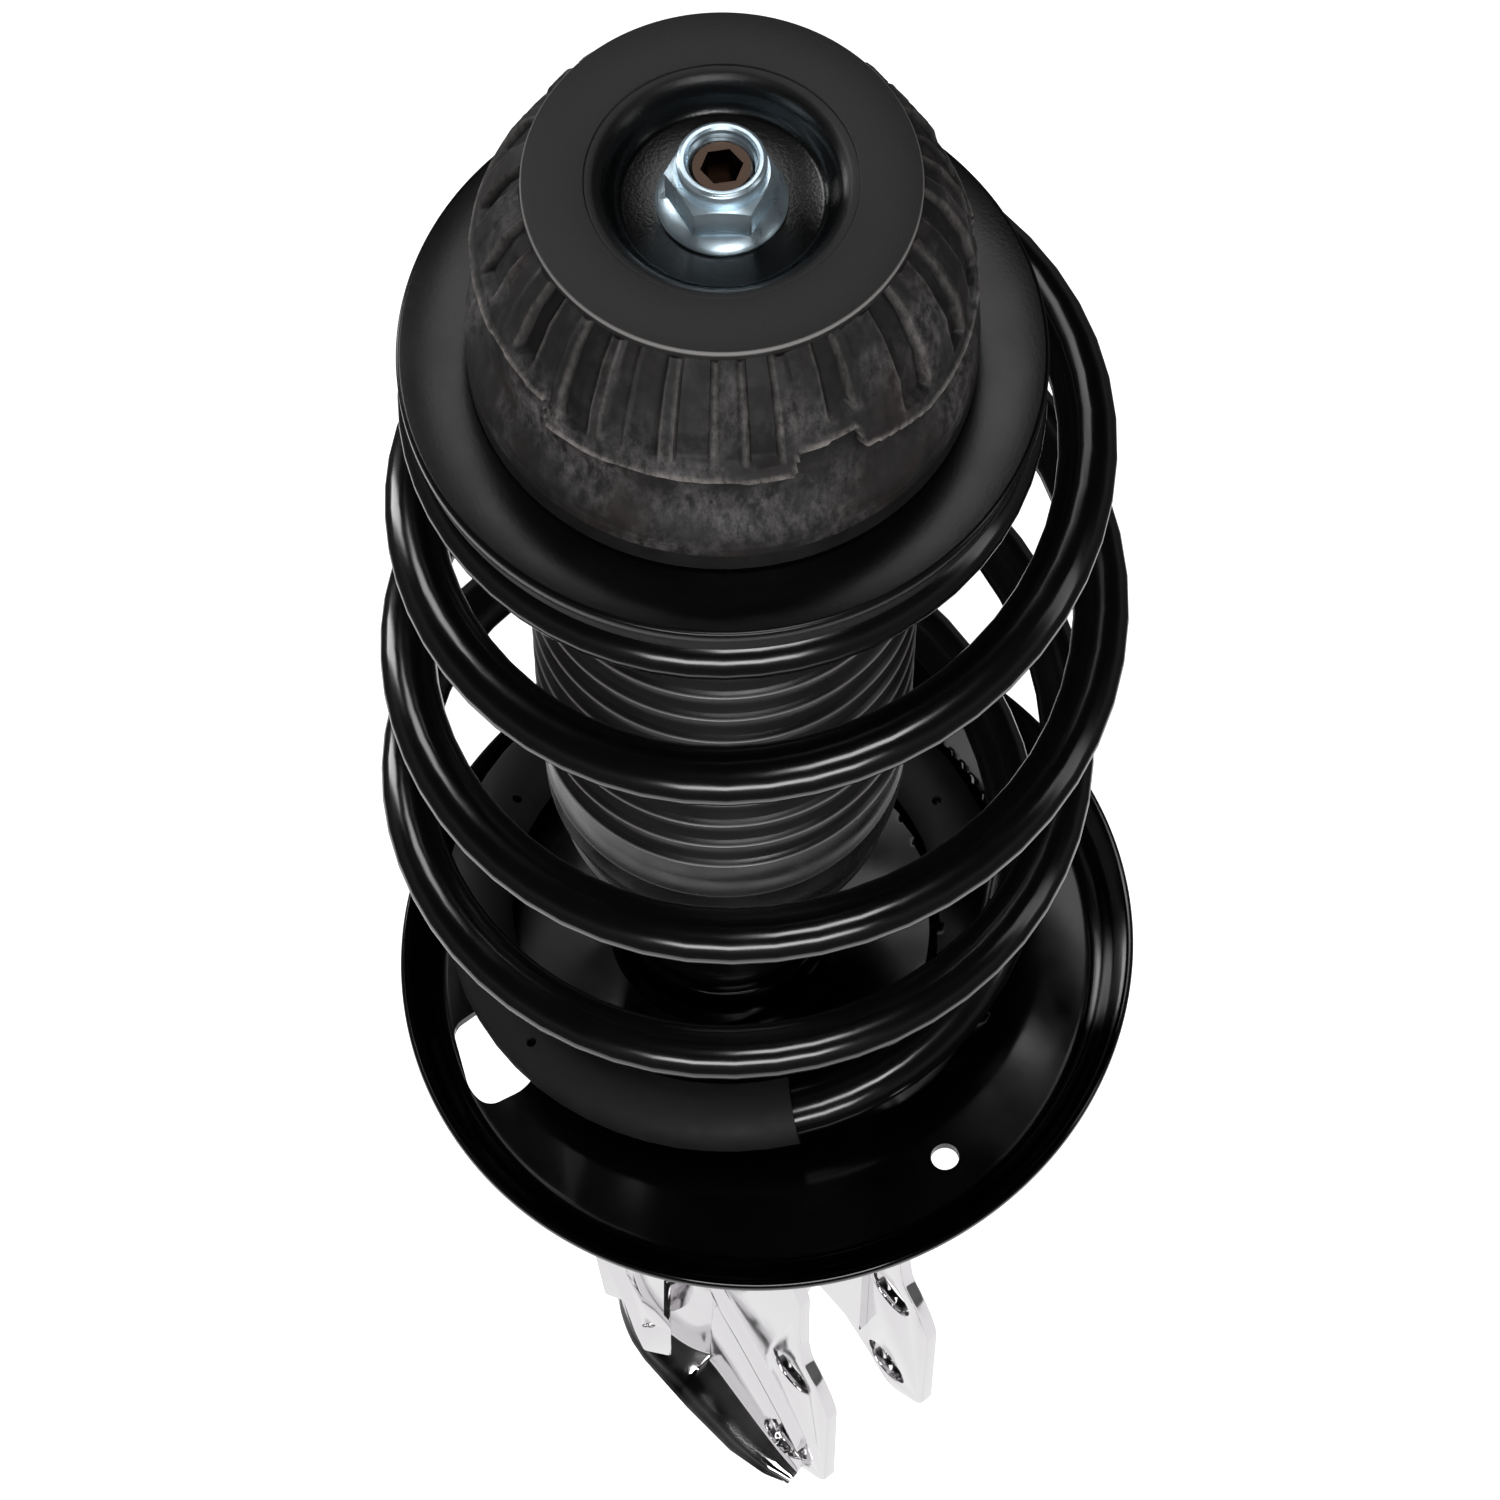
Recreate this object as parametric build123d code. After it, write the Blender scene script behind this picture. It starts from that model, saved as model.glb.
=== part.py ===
from build123d import *
import math
import os

# ---------------------------------------------------------------------------
# Suspension strut assembly.  Millimetres, +Z up along the strut's axis.
# The origin is where that axis meets the top face of the clamping plate, and
# +X points from the axis to the two knuckle bolts.
# ---------------------------------------------------------------------------

# Standard sizes that set the scale
NUT_FLATS = 21.0            # M14 flange nut
STUD_RADIUS = 7.0           # M14 stud on the rod's upper end
WIRE = 13.5                 # spring wire diameter
KNUCKLE_HOLE = 8.25         # radius, for an M16 knuckle bolt
TUBE_OUTER = 25.5           # damper tube
ROD = 11.0                  # damper rod

# Fits and sheet
GAP = 0.3                   # between curved faces of different bodies
SLIP = 0.04                 # radial clearance of a sliding fit
SHEET = 3.0                 # pressed steel sheet

# Heights along the axis
PLATE_FLOOR = -8.0          # floor of the plate's well
CORE_BOTTOM = -52.0         # shoulder where the rod's stud begins
MOUNT_BOTTOM = -58.0
SEAT_TOP = -67.5            # upper spring seat's flat rim
BOOT_TOP = -78.5
BOOT_BOTTOM = -283.0
TUBE_TOP = -262.0
TUBE_BOTTOM = -614.0
PISTON_TOP = -318.0
PRESSURE_TOP = -280.0
PRESSURE_BOTTOM = -594.0
BRACKET_TOP = -478.0
EAR_BOTTOM = -634.0

# Radii
PLATE = 42.5
UPPER_SEAT = 72.3
BOOT = 46.5
TUBE_BORE = TUBE_OUTER - 2.0
PRESSURE_BORE = 16.0
PRESSURE_WALL = 1.5

# Thrust ball bearing
BALL = 3.0
BALL_CIRCLE = 44.0
BALL_COUNT = 32
BALL_HEIGHT = -66.3

# Lower seat: its rim is offset towards the knuckle and tipped
RIM_OFFSET = 16.7
RIM_HEIGHT = -352.0
RIM_SLOPE = (0.035, 0.063)
CHANNEL_SLOPE = (0.036, -0.087)
CHANNEL_HEIGHT = -363.0
DRAIN_PLACE = (92.1, -1.1)
DRAIN_RADIUS = 3.7
SLOT_OUTLINE = [(-23.0, -76.0), (-5.2, -84.0), (1.5, -83.0), (4.0, -72.0), (-1.0, -60.0), (-22.0, -58.0)]

# Knuckle bracket
HOLE_X = 55.5
UPPER_HOLE_Z = -561.5
LOWER_HOLE_Z = -619.5
EAR_GAP = 35.0              # between the ears' inner faces
EAR_SHEET = 4.0
EAR_INNER = EAR_GAP / 2
EAR_OUTER = EAR_INNER + EAR_SHEET
EAR_FRONT = 73.0
SKIRT_SHEET = 3.5
SKIRT_ENDS = [              # (place along X, top of the bend, reach along Y, lowest height)
    (6.0, -600.0, 38.5, -624.0),
    (62.0, -628.0, 27.5, -637.0),
]

# Hose tab, in its own upright plane: (across, height)
TAB_STAND_OFF = 36.0
TAB_SHEET = 2.0
TAB_OUTLINE = [(-17.4, -597.0), (-17.2, -574.0), (-21.3, -561.0), (-25.4, -552.0), (-29.3, -532.0),
               (-31.5, -506.0), (-36.5, -502.0), (-39.0, -506.0), (-36.3, -545.0), (-31.0, -550.0),
               (-28.0, -576.0), (-25.5, -592.0)]
TAB_HOLE = (-23.8, -571.0)
TAB_FOOT = (-18.3, -585.0, 22.0)

# Spring wire centre line, a quarter turn apart from the upper end down:
# (radius, height).  The coil runs clockwise as it goes down.
COIL_START = 140.7          # angle of the first mark, degrees about +Z
COIL_QUARTERS = [
    (66.0, -86.1), (66.0, -86.1), (66.0, -86.1), (66.3, -88.0), (69.0, -94.0),
    (82.5, -102.0), (80.5, -118.5), (71.5, -129.5), (75.5, -152.0),
    (90.0, -178.0), (87.0, -189.0), (76.5, -197.5), (80.0, -226.0),
    (86.3, -256.0), (84.5, -262.0), (80.5, -269.0), (82.0, -298.0),
    (76.5, -328.0), (66.0, -346.5), (66.0, -352.0), (66.0, -356.0), (66.0, -358.5),
]
COIL_STEPS = 6              # straight runs in a quarter turn
COIL_FIRST = 3 / COIL_STEPS
COIL_LAST = 125 / COIL_STEPS
SLEEVE_FIRST = 107 / COIL_STEPS
SLEEVE_WALL = 2.1           # from the wire's surface to the sleeve's outside
SLEEVE_SLACK = 0.6


def ring(outer, inner, top, bottom):
    """A plain ring between two heights."""
    body = Pos(0, 0, bottom) * Cylinder(outer, top - bottom, align=BASE)
    if inner > 0:
        body -= Pos(0, 0, bottom - 1) * Cylinder(inner, top - bottom + 2, align=BASE)
    return body


def lathe(points):
    """A closed (radius, height) outline turned about the strut's axis."""
    with BuildPart() as turned:
        with BuildSketch(Plane.XZ):
            with BuildLine():
                Polyline(*points, close=True)
            make_face()
        revolve(axis=Axis.Z)
    return turned.part


def hexagon(flats, top, bottom):
    """A hexagonal prism, measured across its flats."""
    with BuildPart() as prism:
        with BuildSketch(Plane.XY.offset(bottom)):
            RegularPolygon(flats / 2, 6, major_radius=False)
        extrude(amount=top - bottom)
    return prism.part


def around(count, radius, shape, offset=0.0):
    """Copies of a shape on a circle about the strut's axis."""
    copies = []
    for index in range(count):
        angle = offset + 360.0 * index / count
        copies.append(Rot(0, 0, angle) * (Pos(radius, 0, 0) * shape))
    return copies


BASE = (Align.CENTER, Align.CENTER, Align.MIN)


# --- top mount -------------------------------------------------------------

def top_nut():
    """Flange nut with a round collar that stands above the rod's end."""
    nut = lathe([(14.1, -8), (14.1, -6.6), (12.4, -5.4), (9.5, -5), (9.5, -8)])
    nut += hexagon(NUT_FLATS, 3.4, -7.0)
    nut += ring(9.6, 0, 8.0, 3.0)
    nut -= ring(STUD_RADIUS + SLIP, 0, 20, -20)
    nut -= Pos(0, 0, 6.4) * Cone(STUD_RADIUS, 8.4, 1.7, align=BASE)
    return nut


def top_plate():
    """Dished clamping plate with a raised flat rim."""
    return lathe([
        (PLATE, 0), (PLATE, -SHEET), (26.5, -SHEET), (22.5, -11.0), (STUD_RADIUS + SLIP, -11.0),
        (STUD_RADIUS + SLIP, PLATE_FLOOR), (21.5, PLATE_FLOOR), (23.5, -6.5), (26.2, -1.4),
        (27.6, -0.5), (29.1, -0.5), (29.1, 0),
    ])


def mount_rubber():
    """Conical rubber block bonded round the steel core."""
    return lathe([
        (43.0, -3.4), (47.5, -9.0), (52.5, -20.0), (54.6, -31.0), (55.2, -44.0), (56.6, -50.0),
        (56.6, MOUNT_BOTTOM), (30.0, MOUNT_BOTTOM), (26.0, -50.0), (20.0, -46.0), (20.0, -13.0),
        (24.5, -11.5), (28.0, -3.4),
    ])


def mount_core():
    """Steel sleeve that the rod's shoulder and the nut clamp."""
    core = ring(13.0, STUD_RADIUS + SLIP, -11.0, CORE_BOTTOM)
    core += ring(19.95, STUD_RADIUS + SLIP, -13.5, -17.5)
    core += ring(19.95, STUD_RADIUS + SLIP, -42.0, -46.0)
    return core


def mount_base_ring():
    """Pressed ring bonded under the rubber, over the bearing."""
    return ring(56.6, 34.0, MOUNT_BOTTOM, -61.0)


def bearing_dust_seal():
    """Rubber lip that closes the gap over the spring seat."""
    return lathe([(56.6, -61.0), (56.6, -66.6), (54.9, -67.1), (53.2, -66.4), (53.8, -61.0)])


def bearing_upper_race():
    race = ring(50.5, 37.5, -61.0, -65.2)
    groove = Pos(0, 0, BALL_HEIGHT) * Torus(BALL_CIRCLE, BALL + SLIP)
    return race - groove


def bearing_lower_race():
    race = ring(50.5, 37.5, -67.4, -71.5)
    groove = Pos(0, 0, BALL_HEIGHT) * Torus(BALL_CIRCLE, BALL + SLIP)
    return race - groove


def bearing_balls():
    ball = Pos(0, 0, BALL_HEIGHT) * Sphere(BALL)
    return Compound(around(BALL_COUNT, BALL_CIRCLE, ball))


def bearing_cage():
    cage = ring(48.6, 39.4, BALL_HEIGHT + 0.7, BALL_HEIGHT - 0.7)
    pocket = Pos(0, 0, BALL_HEIGHT) * Sphere(BALL + SLIP)
    for cut in around(BALL_COUNT, BALL_CIRCLE, pocket):
        cage -= cut
    return cage


# --- parts that ride on top of the spring ----------------------------------

def upper_spring_seat():
    """Pressed seat: flat rim, bearing well and a neck that locates the boot."""
    return lathe([
        (UPPER_SEAT, SEAT_TOP), (UPPER_SEAT, -71.0), (70.8, -71.0), (70.0, -70.0), (56.0, -70.0),
        (54.2, -74.0), (38.0, -74.0), (38.0, -80.0), (35.5, -80.0), (35.5, -71.5),
        (51.6, -71.5), (54.0, SEAT_TOP),
    ])


def upper_isolator():
    """Rubber ring between the seat and the spring's first turn."""
    return lathe([
        (71.4, -71.3), (71.8, -73.0), (71.0, -77.4), (66.0, -79.0), (59.0, -78.4), (57.5, -75.0),
        (57.5, -70.3), (69.4, -70.3),
    ])


def bump_stop():
    """Microcellular bumper pushed onto the rod under the mount."""
    outline = [(ROD + GAP, -54.0), (27.0, -54.0), (27.0, -60.0)]
    waist_pitch = 13.0
    for index in range(4):
        top = -60.0 - index * waist_pitch
        wide = 26.0 - index * 2.4
        outline.append((wide - 4.0, top - 2.5))
        outline.append((wide, top - 6.0))
        outline.append((wide - 0.4, top - 10.5))
    outline.append((ROD + 4.0, -114.0))
    outline.append((ROD + GAP, -114.0))
    return lathe(outline)


def dust_boot():
    """Bellows with sharp ribs, a plain hem and a collar under the seat."""
    wall = 1.6
    rib_pitch = 11.15
    rib_count = 14
    first_crest = BOOT_TOP - 12.75
    outer = [(46.8, BOOT_TOP)]
    for index in range(rib_count):
        crest = first_crest - index * rib_pitch
        outer.append((BOOT, crest))
        outer.append((BOOT - 4.2, crest - rib_pitch * 0.55))
    outer.pop()
    outer.append((BOOT - 1.0, -264.0))
    outer.append((44.0, -270.0))
    outer.append((41.2, BOOT_BOTTOM + 2.0))
    outer.append((40.7, BOOT_BOTTOM))
    inner = [(radius - wall, height) for radius, height in reversed(outer)]
    inner.pop()
    collar = [(44.9, -80.3), (38.3, -80.3), (38.3, BOOT_TOP)]
    return lathe(outer + inner + collar)


# --- rod and piston --------------------------------------------------------

def piston_rod():
    """Hardened rod: threaded stud with a hex socket, and a spigot for the piston."""
    rod = ring(ROD, 0, CORE_BOTTOM, -316.8)
    rod += ring(STUD_RADIUS, 0, 3.0, CORE_BOTTOM)
    rod += Pos(0, 0, 3.0) * Cone(STUD_RADIUS, 6.2, 2.0, align=BASE)
    rod += ring(6.0, 0, -316.8, -348.0)
    rod -= hexagon(8.0, 6.0, -4.0)
    return rod


def rebound_stop():
    return ring(15.3, ROD + SLIP, -290.6, -300.0)


def compression_shims():
    shims = ring(13.5, 6.05, PISTON_TOP + 0.4, PISTON_TOP)
    shims += ring(11.5, 6.05, PISTON_TOP + 0.8, PISTON_TOP + 0.4)
    shims += ring(9.5, 6.05, PISTON_TOP + 1.2, PISTON_TOP + 0.8)
    return shims


def piston():
    """Sintered piston with six oil passages and a groove for its band."""
    body = ring(15.6, 6.05, PISTON_TOP, PISTON_TOP - 18.0)
    body -= ring(20.0, 15.2, PISTON_TOP - 4.0, PISTON_TOP - 14.0)
    passage = Pos(0, 0, PISTON_TOP - 19.0) * Cylinder(1.8, 20.0, align=BASE)
    for cut in around(6, 11.0, passage):
        body -= cut
    return body


def piston_band():
    return ring(PRESSURE_BORE - SLIP, 15.22, PISTON_TOP - 4.05, PISTON_TOP - 13.95)


def rebound_shims():
    top = PISTON_TOP - 18.0
    shims = ring(13.5, 6.05, top, top - 0.4)
    shims += ring(11.5, 6.05, top - 0.4, top - 0.8)
    shims += ring(9.5, 6.05, top - 0.8, top - 1.2)
    return shims


def piston_nut():
    return hexagon(17.0, -337.2, -346.0) - ring(6.05, 0, -330.0, -350.0)


# --- damper body -----------------------------------------------------------

def strut_tube():
    """Outer tube, crimped inwards over the seal at its top."""
    tube = ring(TUBE_OUTER, TUBE_BORE, TUBE_TOP, TUBE_BOTTOM)
    tube += ring(TUBE_OUTER, 20.0, TUBE_TOP, TUBE_TOP - 2.0)
    return tube


def tube_cap():
    """Striker cap over the tube's end, which the bump stop lands on."""
    cap = ring(27.2, TUBE_OUTER + 0.05, -258.0, -284.0)
    cap += ring(27.2, 13.0, -258.0, TUBE_TOP + 0.1)
    return cap


def rod_seal():
    return lathe([
        (23.4, -264.1), (23.4, -268.0), (12.6, -268.0), (ROD + SLIP, -266.8),
        (ROD + SLIP, -265.6), (12.4, -264.1),
    ])


def rod_guide():
    """Sintered guide that centres the rod and holds the pressure tube."""
    guide = ring(23.4, 12.52, -268.05, PRESSURE_TOP)
    guide += ring(PRESSURE_BORE - 0.02, 12.52, PRESSURE_TOP, -290.0)
    drain = Pos(19.8, 0, -281.0) * Cylinder(1.5, 14.0, align=BASE)
    guide -= drain
    return guide


def rod_guide_bush():
    return ring(12.5, ROD + SLIP, -269.0, -289.0)


def pressure_tube():
    return ring(PRESSURE_BORE + PRESSURE_WALL, PRESSURE_BORE, PRESSURE_TOP - 0.02, PRESSURE_BOTTOM)


def base_valve():
    """Foot valve pressed into the pressure tube, slotted for oil to pass."""
    valve = ring(PRESSURE_BORE - 0.02, 0, -586.0, PRESSURE_BOTTOM)
    valve += ring(19.5, 0, PRESSURE_BOTTOM, -605.95)
    valve -= ring(12.0, 0, -598.0, -610.0)
    slot = Box(12.0, 5.0, 6.0)
    for cut in around(4, 17.0, Pos(0, 0, -603.5) * slot):
        valve -= cut
    passage = Pos(0, 0, -600.0) * Cylinder(1.5, 20.0, align=BASE)
    for cut in around(4, 7.5, passage):
        valve -= cut
    return valve


def end_cap():
    return ring(TUBE_BORE - 0.05, 0, -606.0, -613.5)


# --- lower spring seat -----------------------------------------------------

def tipped(slope, centre):
    """A frame whose Z is square to a plane with this slope."""
    normal = Vector(-slope[0], -slope[1], 1)
    across = Vector(1, 0, slope[0])
    return Plane(origin=centre, x_dir=across, z_dir=normal).location


def bowl(grow):
    """The dish's hollow, or its outside when grown by the sheet's thickness."""
    floor = -9.5 - grow
    outline = [(0, 0.0), (95.0 + grow, 0.0), (92.5 + grow, -4.0), (87.0 + grow * 0.7, floor), (0, floor)]
    return tipped(RIM_SLOPE, (RIM_OFFSET, 0, RIM_HEIGHT)) * lathe(outline)


def channel(grow):
    """The ring-shaped groove that the spring's last turn lies in."""
    outline = [(54.5 - grow, 12.0), (76.5 + grow, 12.0), (76.5 + grow, 2.0),
               (73.0 + grow * 0.5, -grow), (58.0 - grow * 0.5, -grow), (54.5 - grow, 2.0)]
    return tipped(CHANNEL_SLOPE, (0, 0, CHANNEL_HEIGHT)) * lathe(outline)


def lower_spring_seat():
    """Offset, tipped dish welded round the tube."""
    outside = bowl(SHEET) + (channel(SHEET) - tipped(RIM_SLOPE, (RIM_OFFSET, 0, RIM_HEIGHT - 8.0))
                             * Cylinder(140.0, 60.0, align=BASE))
    seat = outside - bowl(0.0) - channel(0.0)
    seat += ring(TUBE_OUTER + SHEET, TUBE_OUTER, -351.0, -372.0)
    seat -= ring(TUBE_OUTER + 0.02, 0, -300.0, -400.0)
    seat -= Pos(DRAIN_PLACE[0], DRAIN_PLACE[1], -390.0) * Cylinder(DRAIN_RADIUS, 60.0, align=BASE)
    with BuildPart() as slot:
        with BuildSketch(Plane.XY.offset(-400.0)):
            with BuildLine():
                Polyline(*SLOT_OUTLINE, close=True)
            make_face()
            fillet(vertices(), radius=3.0)
        extrude(amount=80.0)
    return seat - slot.part


# --- knuckle bracket -------------------------------------------------------

def side_outline(points, half_width):
    """An outline in X and Z, given thickness along Y."""
    with BuildPart() as plate:
        with BuildSketch(Plane.XZ.offset(-half_width)):
            with BuildLine():
                Polyline(*points, close=True)
            make_face()
        extrude(amount=2 * half_width)
    return plate.part


def plan_wrap(inner, ear_inner, thickness, top, bottom):
    """A channel in plan: round the back of the tube, then forward as two ears."""
    outer = inner + thickness
    ear_outer = ear_inner + thickness
    solid = ring(outer, 0, top, bottom)
    solid += Pos(EAR_FRONT / 2, 0, bottom) * Box(EAR_FRONT, 2 * ear_outer, top - bottom, align=BASE)
    hollow = ring(inner, 0, top + 1, bottom - 1)
    hollow += Pos(EAR_FRONT / 2 + 1, 0, bottom - 1) * Box(
        EAR_FRONT + 2, 2 * ear_inner, top - bottom + 2, align=BASE)
    return solid - hollow


def bracket_skirt(side):
    """Out-turned lip under one ear, wide at the tube and narrow at the front."""
    root = EAR_OUTER - 1.0
    bend = 6
    sections = []
    for place, top, reach, low in SKIRT_ENDS:
        upper = []
        lower = []
        for step in range(bend + 1):
            turn = math.radians(90.0 * step / bend)
            out = root + (reach - root) * (1 - math.cos(turn))
            down = top + (low - top) * math.sin(turn)
            upper.append((out, down))
            lower.append((out - SKIRT_SHEET * math.cos(turn), down - SKIRT_SHEET * math.sin(turn)))
        outline = upper + [point for point in reversed(lower) if point[0] < reach - 0.1]
        corners = [Vector(place, side * out, down) for out, down in outline]
        sections.append(Face(Wire.make_polygon(corners, close=True)))
    return loft(sections, ruled=True)


def knuckle_bracket():
    """Pressed steel channel round the tube with two bolt ears and a stiff lower lip."""
    bracket = plan_wrap(TUBE_OUTER + 0.05, EAR_INNER, EAR_SHEET, BRACKET_TOP, -640.0)
    profile = [
        (-40.0, -486.0), (-8.0, BRACKET_TOP), (34.0, BRACKET_TOP), (52.0, -484.0), (59.3, -500.0),
        (59.3, -533.0), (61.0, -543.0), (66.0, -549.5), (70.4, -557.5), (EAR_FRONT, -565.0),
        (EAR_FRONT, -620.0), (71.0, -624.5), (64.0, -630.5), (60.0, EAR_BOTTOM),
        (55.5, EAR_BOTTOM), (47.0, -626.5), (31.0, -615.0), (6.0, -612.0), (-40.0, -604.0),
    ]
    bracket &= side_outline(profile, 60.0)
    bracket += bracket_skirt(1)
    bracket += bracket_skirt(-1)
    bracket -= Pos(0, 0, -700) * Cylinder(TUBE_OUTER + 0.05, 300.0, align=BASE)
    bracket -= Pos(50.0, 0, -600.0) * Box(100.0, EAR_GAP, 300.0)
    for height in (UPPER_HOLE_Z, LOWER_HOLE_Z):
        bracket -= Pos(HOLE_X, 0, height) * Rot(90, 0, 0) * Cylinder(KNUCKLE_HOLE, 120.0)
    return bracket


def bracket_inner_plate():
    """Inner channel that closes the bracket across the front of the tube."""
    top = -490.0
    bottom = -606.0
    plate = ring(TUBE_OUTER + 3.1, TUBE_OUTER + 0.1, top, bottom)
    plate &= Pos(40.0, 0, -550.0) * Box(80.0, 2 * EAR_INNER - 0.1, 200.0)
    for side in (1, -1):
        wing = Pos(34.0, side * (EAR_INNER - 1.55), bottom) * Box(24.0, 3.0, top - bottom, align=BASE)
        plate += wing - ring(TUBE_OUTER + 0.1, 0, -480.0, -640.0)
    return plate


def hose_bracket():
    """Hose tab: a leaning strip that faces out, on a foot welded to the bracket."""
    facing = Plane(origin=(0, 0, 0), x_dir=(0.633, 0.774, 0), z_dir=(0.774, -0.633, 0))
    with BuildPart() as tab:
        with BuildSketch(facing.offset(TAB_STAND_OFF)):
            with BuildLine():
                Polyline(*TAB_OUTLINE, close=True)
            make_face()
        extrude(amount=TAB_SHEET)
    depth = TAB_STAND_OFF - 14.0
    foot = facing.location * (Pos(TAB_FOOT[0], TAB_FOOT[1], 14.0 + depth / 2)
                              * Box(TAB_SHEET, TAB_FOOT[2], depth))
    hole = facing.location * (Pos(TAB_HOLE[0], TAB_HOLE[1], TAB_STAND_OFF) * Cylinder(2.0, 14.0))
    tab = tab.part + foot - hole
    return tab - ring(TUBE_OUTER + EAR_SHEET + 0.1, 0, -400.0, -650.0)


# --- spring and its sleeve -------------------------------------------------

def coil_point(quarter):
    """Wire centre at a distance in quarter turns from the upper end."""
    index = min(int(quarter), len(COIL_QUARTERS) - 2)
    blend = quarter - index
    before = COIL_QUARTERS[max(index - 1, 0)]
    start = COIL_QUARTERS[index]
    end = COIL_QUARTERS[index + 1]
    after = COIL_QUARTERS[min(index + 2, len(COIL_QUARTERS) - 1)]
    values = []
    for axis in range(2):
        enter = (end[axis] - before[axis]) / 2
        leave = (after[axis] - start[axis]) / 2
        rise = end[axis] - start[axis]
        value = start[axis] + enter * blend
        value += (3 * rise - 2 * enter - leave) * blend ** 2
        value += (enter + leave - 2 * rise) * blend ** 3
        values.append(value)
    angle = math.radians(COIL_START - 90.0 * quarter)
    return (values[0] * math.cos(angle), values[0] * math.sin(angle), values[1])


def coil_path(first, last):
    """Straight runs joined by tangent arcs, from one quarter mark to another."""
    count = max(2, round((last - first) * COIL_STEPS))
    points = []
    for index in range(count + 1):
        points.append(coil_point(first + (last - first) * index / count))
    radii = []
    for before, here, after in zip(points, points[1:], points[2:]):
        arriving = Vector(*here) - Vector(*before)
        leaving = Vector(*after) - Vector(*here)
        turn = math.radians(arriving.get_angle(leaving))
        shorter = min(arriving.length, leaving.length)
        radii.append(0.45 * shorter / math.tan(turn / 2))
    return FilletPolyline(*points, radius=radii)


def tube_along(path, outer, inner=0.0):
    """A round bar or hose swept along a path."""
    start = path.position_at(0)
    across = Plane(origin=start, z_dir=path.tangent_at(0))
    section = across * Circle(outer)
    if inner > 0:
        section -= across * Circle(inner)
    return sweep(section, path=path, transition=Transition.RIGHT)


def coil_spring():
    return tube_along(coil_path(COIL_FIRST, COIL_LAST), WIRE / 2)


def spring_sleeve():
    path = coil_path(SLEEVE_FIRST, COIL_LAST)
    return tube_along(path, WIRE / 2 + SLEEVE_WALL, WIRE / 2 + SLEEVE_SLACK)


NODES = [
    top_nut, top_plate, mount_rubber, mount_core, mount_base_ring, bearing_dust_seal,
    bearing_upper_race, bearing_lower_race, bearing_balls, bearing_cage, upper_spring_seat,
    upper_isolator, bump_stop, dust_boot, piston_rod, rebound_stop, compression_shims, piston,
    piston_band, rebound_shims, piston_nut, strut_tube, tube_cap, rod_seal, rod_guide,
    rod_guide_bush, pressure_tube, base_valve, end_cap, lower_spring_seat, knuckle_bracket,
    bracket_inner_plate, hose_bracket, coil_spring, spring_sleeve,
]

os.makedirs("parts", exist_ok=True)
for make in NODES:
    export_step(make(), f"parts/{make.__name__}.step")
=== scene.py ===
"""A suspension strut: top mount, dust boot, coil spring, damper and knuckle bracket."""

import math

import bmesh
import bpy
from bpy.props import FloatProperty, FloatVectorProperty, IntProperty, PointerProperty
from mathutils import Matrix, Vector, noise


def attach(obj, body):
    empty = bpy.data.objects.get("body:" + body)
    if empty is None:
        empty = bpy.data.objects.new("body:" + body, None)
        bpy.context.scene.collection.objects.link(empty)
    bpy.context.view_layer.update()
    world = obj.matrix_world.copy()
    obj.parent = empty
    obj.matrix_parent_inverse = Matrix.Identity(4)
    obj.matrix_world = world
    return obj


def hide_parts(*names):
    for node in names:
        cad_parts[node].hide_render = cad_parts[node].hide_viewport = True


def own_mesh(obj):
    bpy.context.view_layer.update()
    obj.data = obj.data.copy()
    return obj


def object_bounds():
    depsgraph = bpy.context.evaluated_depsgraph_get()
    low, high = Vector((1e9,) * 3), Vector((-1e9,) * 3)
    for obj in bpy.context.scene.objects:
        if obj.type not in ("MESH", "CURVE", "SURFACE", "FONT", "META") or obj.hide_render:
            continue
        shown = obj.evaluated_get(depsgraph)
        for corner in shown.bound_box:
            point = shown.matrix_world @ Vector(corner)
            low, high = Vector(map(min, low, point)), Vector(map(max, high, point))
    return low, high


bl_info = {
    "name": "Suspension strut",
    "version": (1, 0, 0),
    "blender": (4, 5, 0),
    "location": "View3D > Sidebar > Strut",
    "description": "Builds the finished look of a suspension strut round its fixed frame",
    "category": "Add Mesh",
}

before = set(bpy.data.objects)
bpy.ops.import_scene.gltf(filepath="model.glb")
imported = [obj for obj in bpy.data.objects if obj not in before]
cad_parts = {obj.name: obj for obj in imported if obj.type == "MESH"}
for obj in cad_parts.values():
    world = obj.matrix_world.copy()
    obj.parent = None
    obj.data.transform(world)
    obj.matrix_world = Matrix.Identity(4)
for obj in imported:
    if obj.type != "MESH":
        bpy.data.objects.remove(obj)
CAD_BOX = [list(corner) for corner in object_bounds()]
MM = 0.001

# The direction in plan that the hose tab faces and the stage is lit from.
FRONT_X = 0.774
FRONT_Y = -0.633

# The spring's centre line, a quarter turn apart from its upper end: (radius, height) in mm.
COIL_START = 140.7
COIL_QUARTERS = [
    (66, -86.1), (66, -86.1), (66, -86.1), (66.3, -88), (69, -94),
    (82.5, -102), (80.5, -118.5), (71.5, -129.5), (75.5, -152),
    (90, -178), (87, -189), (76.5, -197.5), (80, -226),
    (86.3, -256), (84.5, -262), (80.5, -269), (82, -298),
    (76.5, -328), (66, -346.5), (66, -352), (66, -356), (66, -358.5),
]
COIL_FIRST = 0.5
COIL_LAST = 20.83
COIL_STEPS = 14  # points on each quarter turn
SLEEVE_FIRST = 17.83
SLEEVE_REACH = 2.1  # from the wire's surface to the sleeve's outside
VENT_RADIUS = 1.3
VENTS = [(-87.3, 68.7), (-155, 62.2), (76.9, 63.5)]  # (angle, radius) of the sleeve's vents
FIRST_CREST = -91.25  # height of the boot's highest rib
POCKETS = 38  # round the mount's rubber

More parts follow.
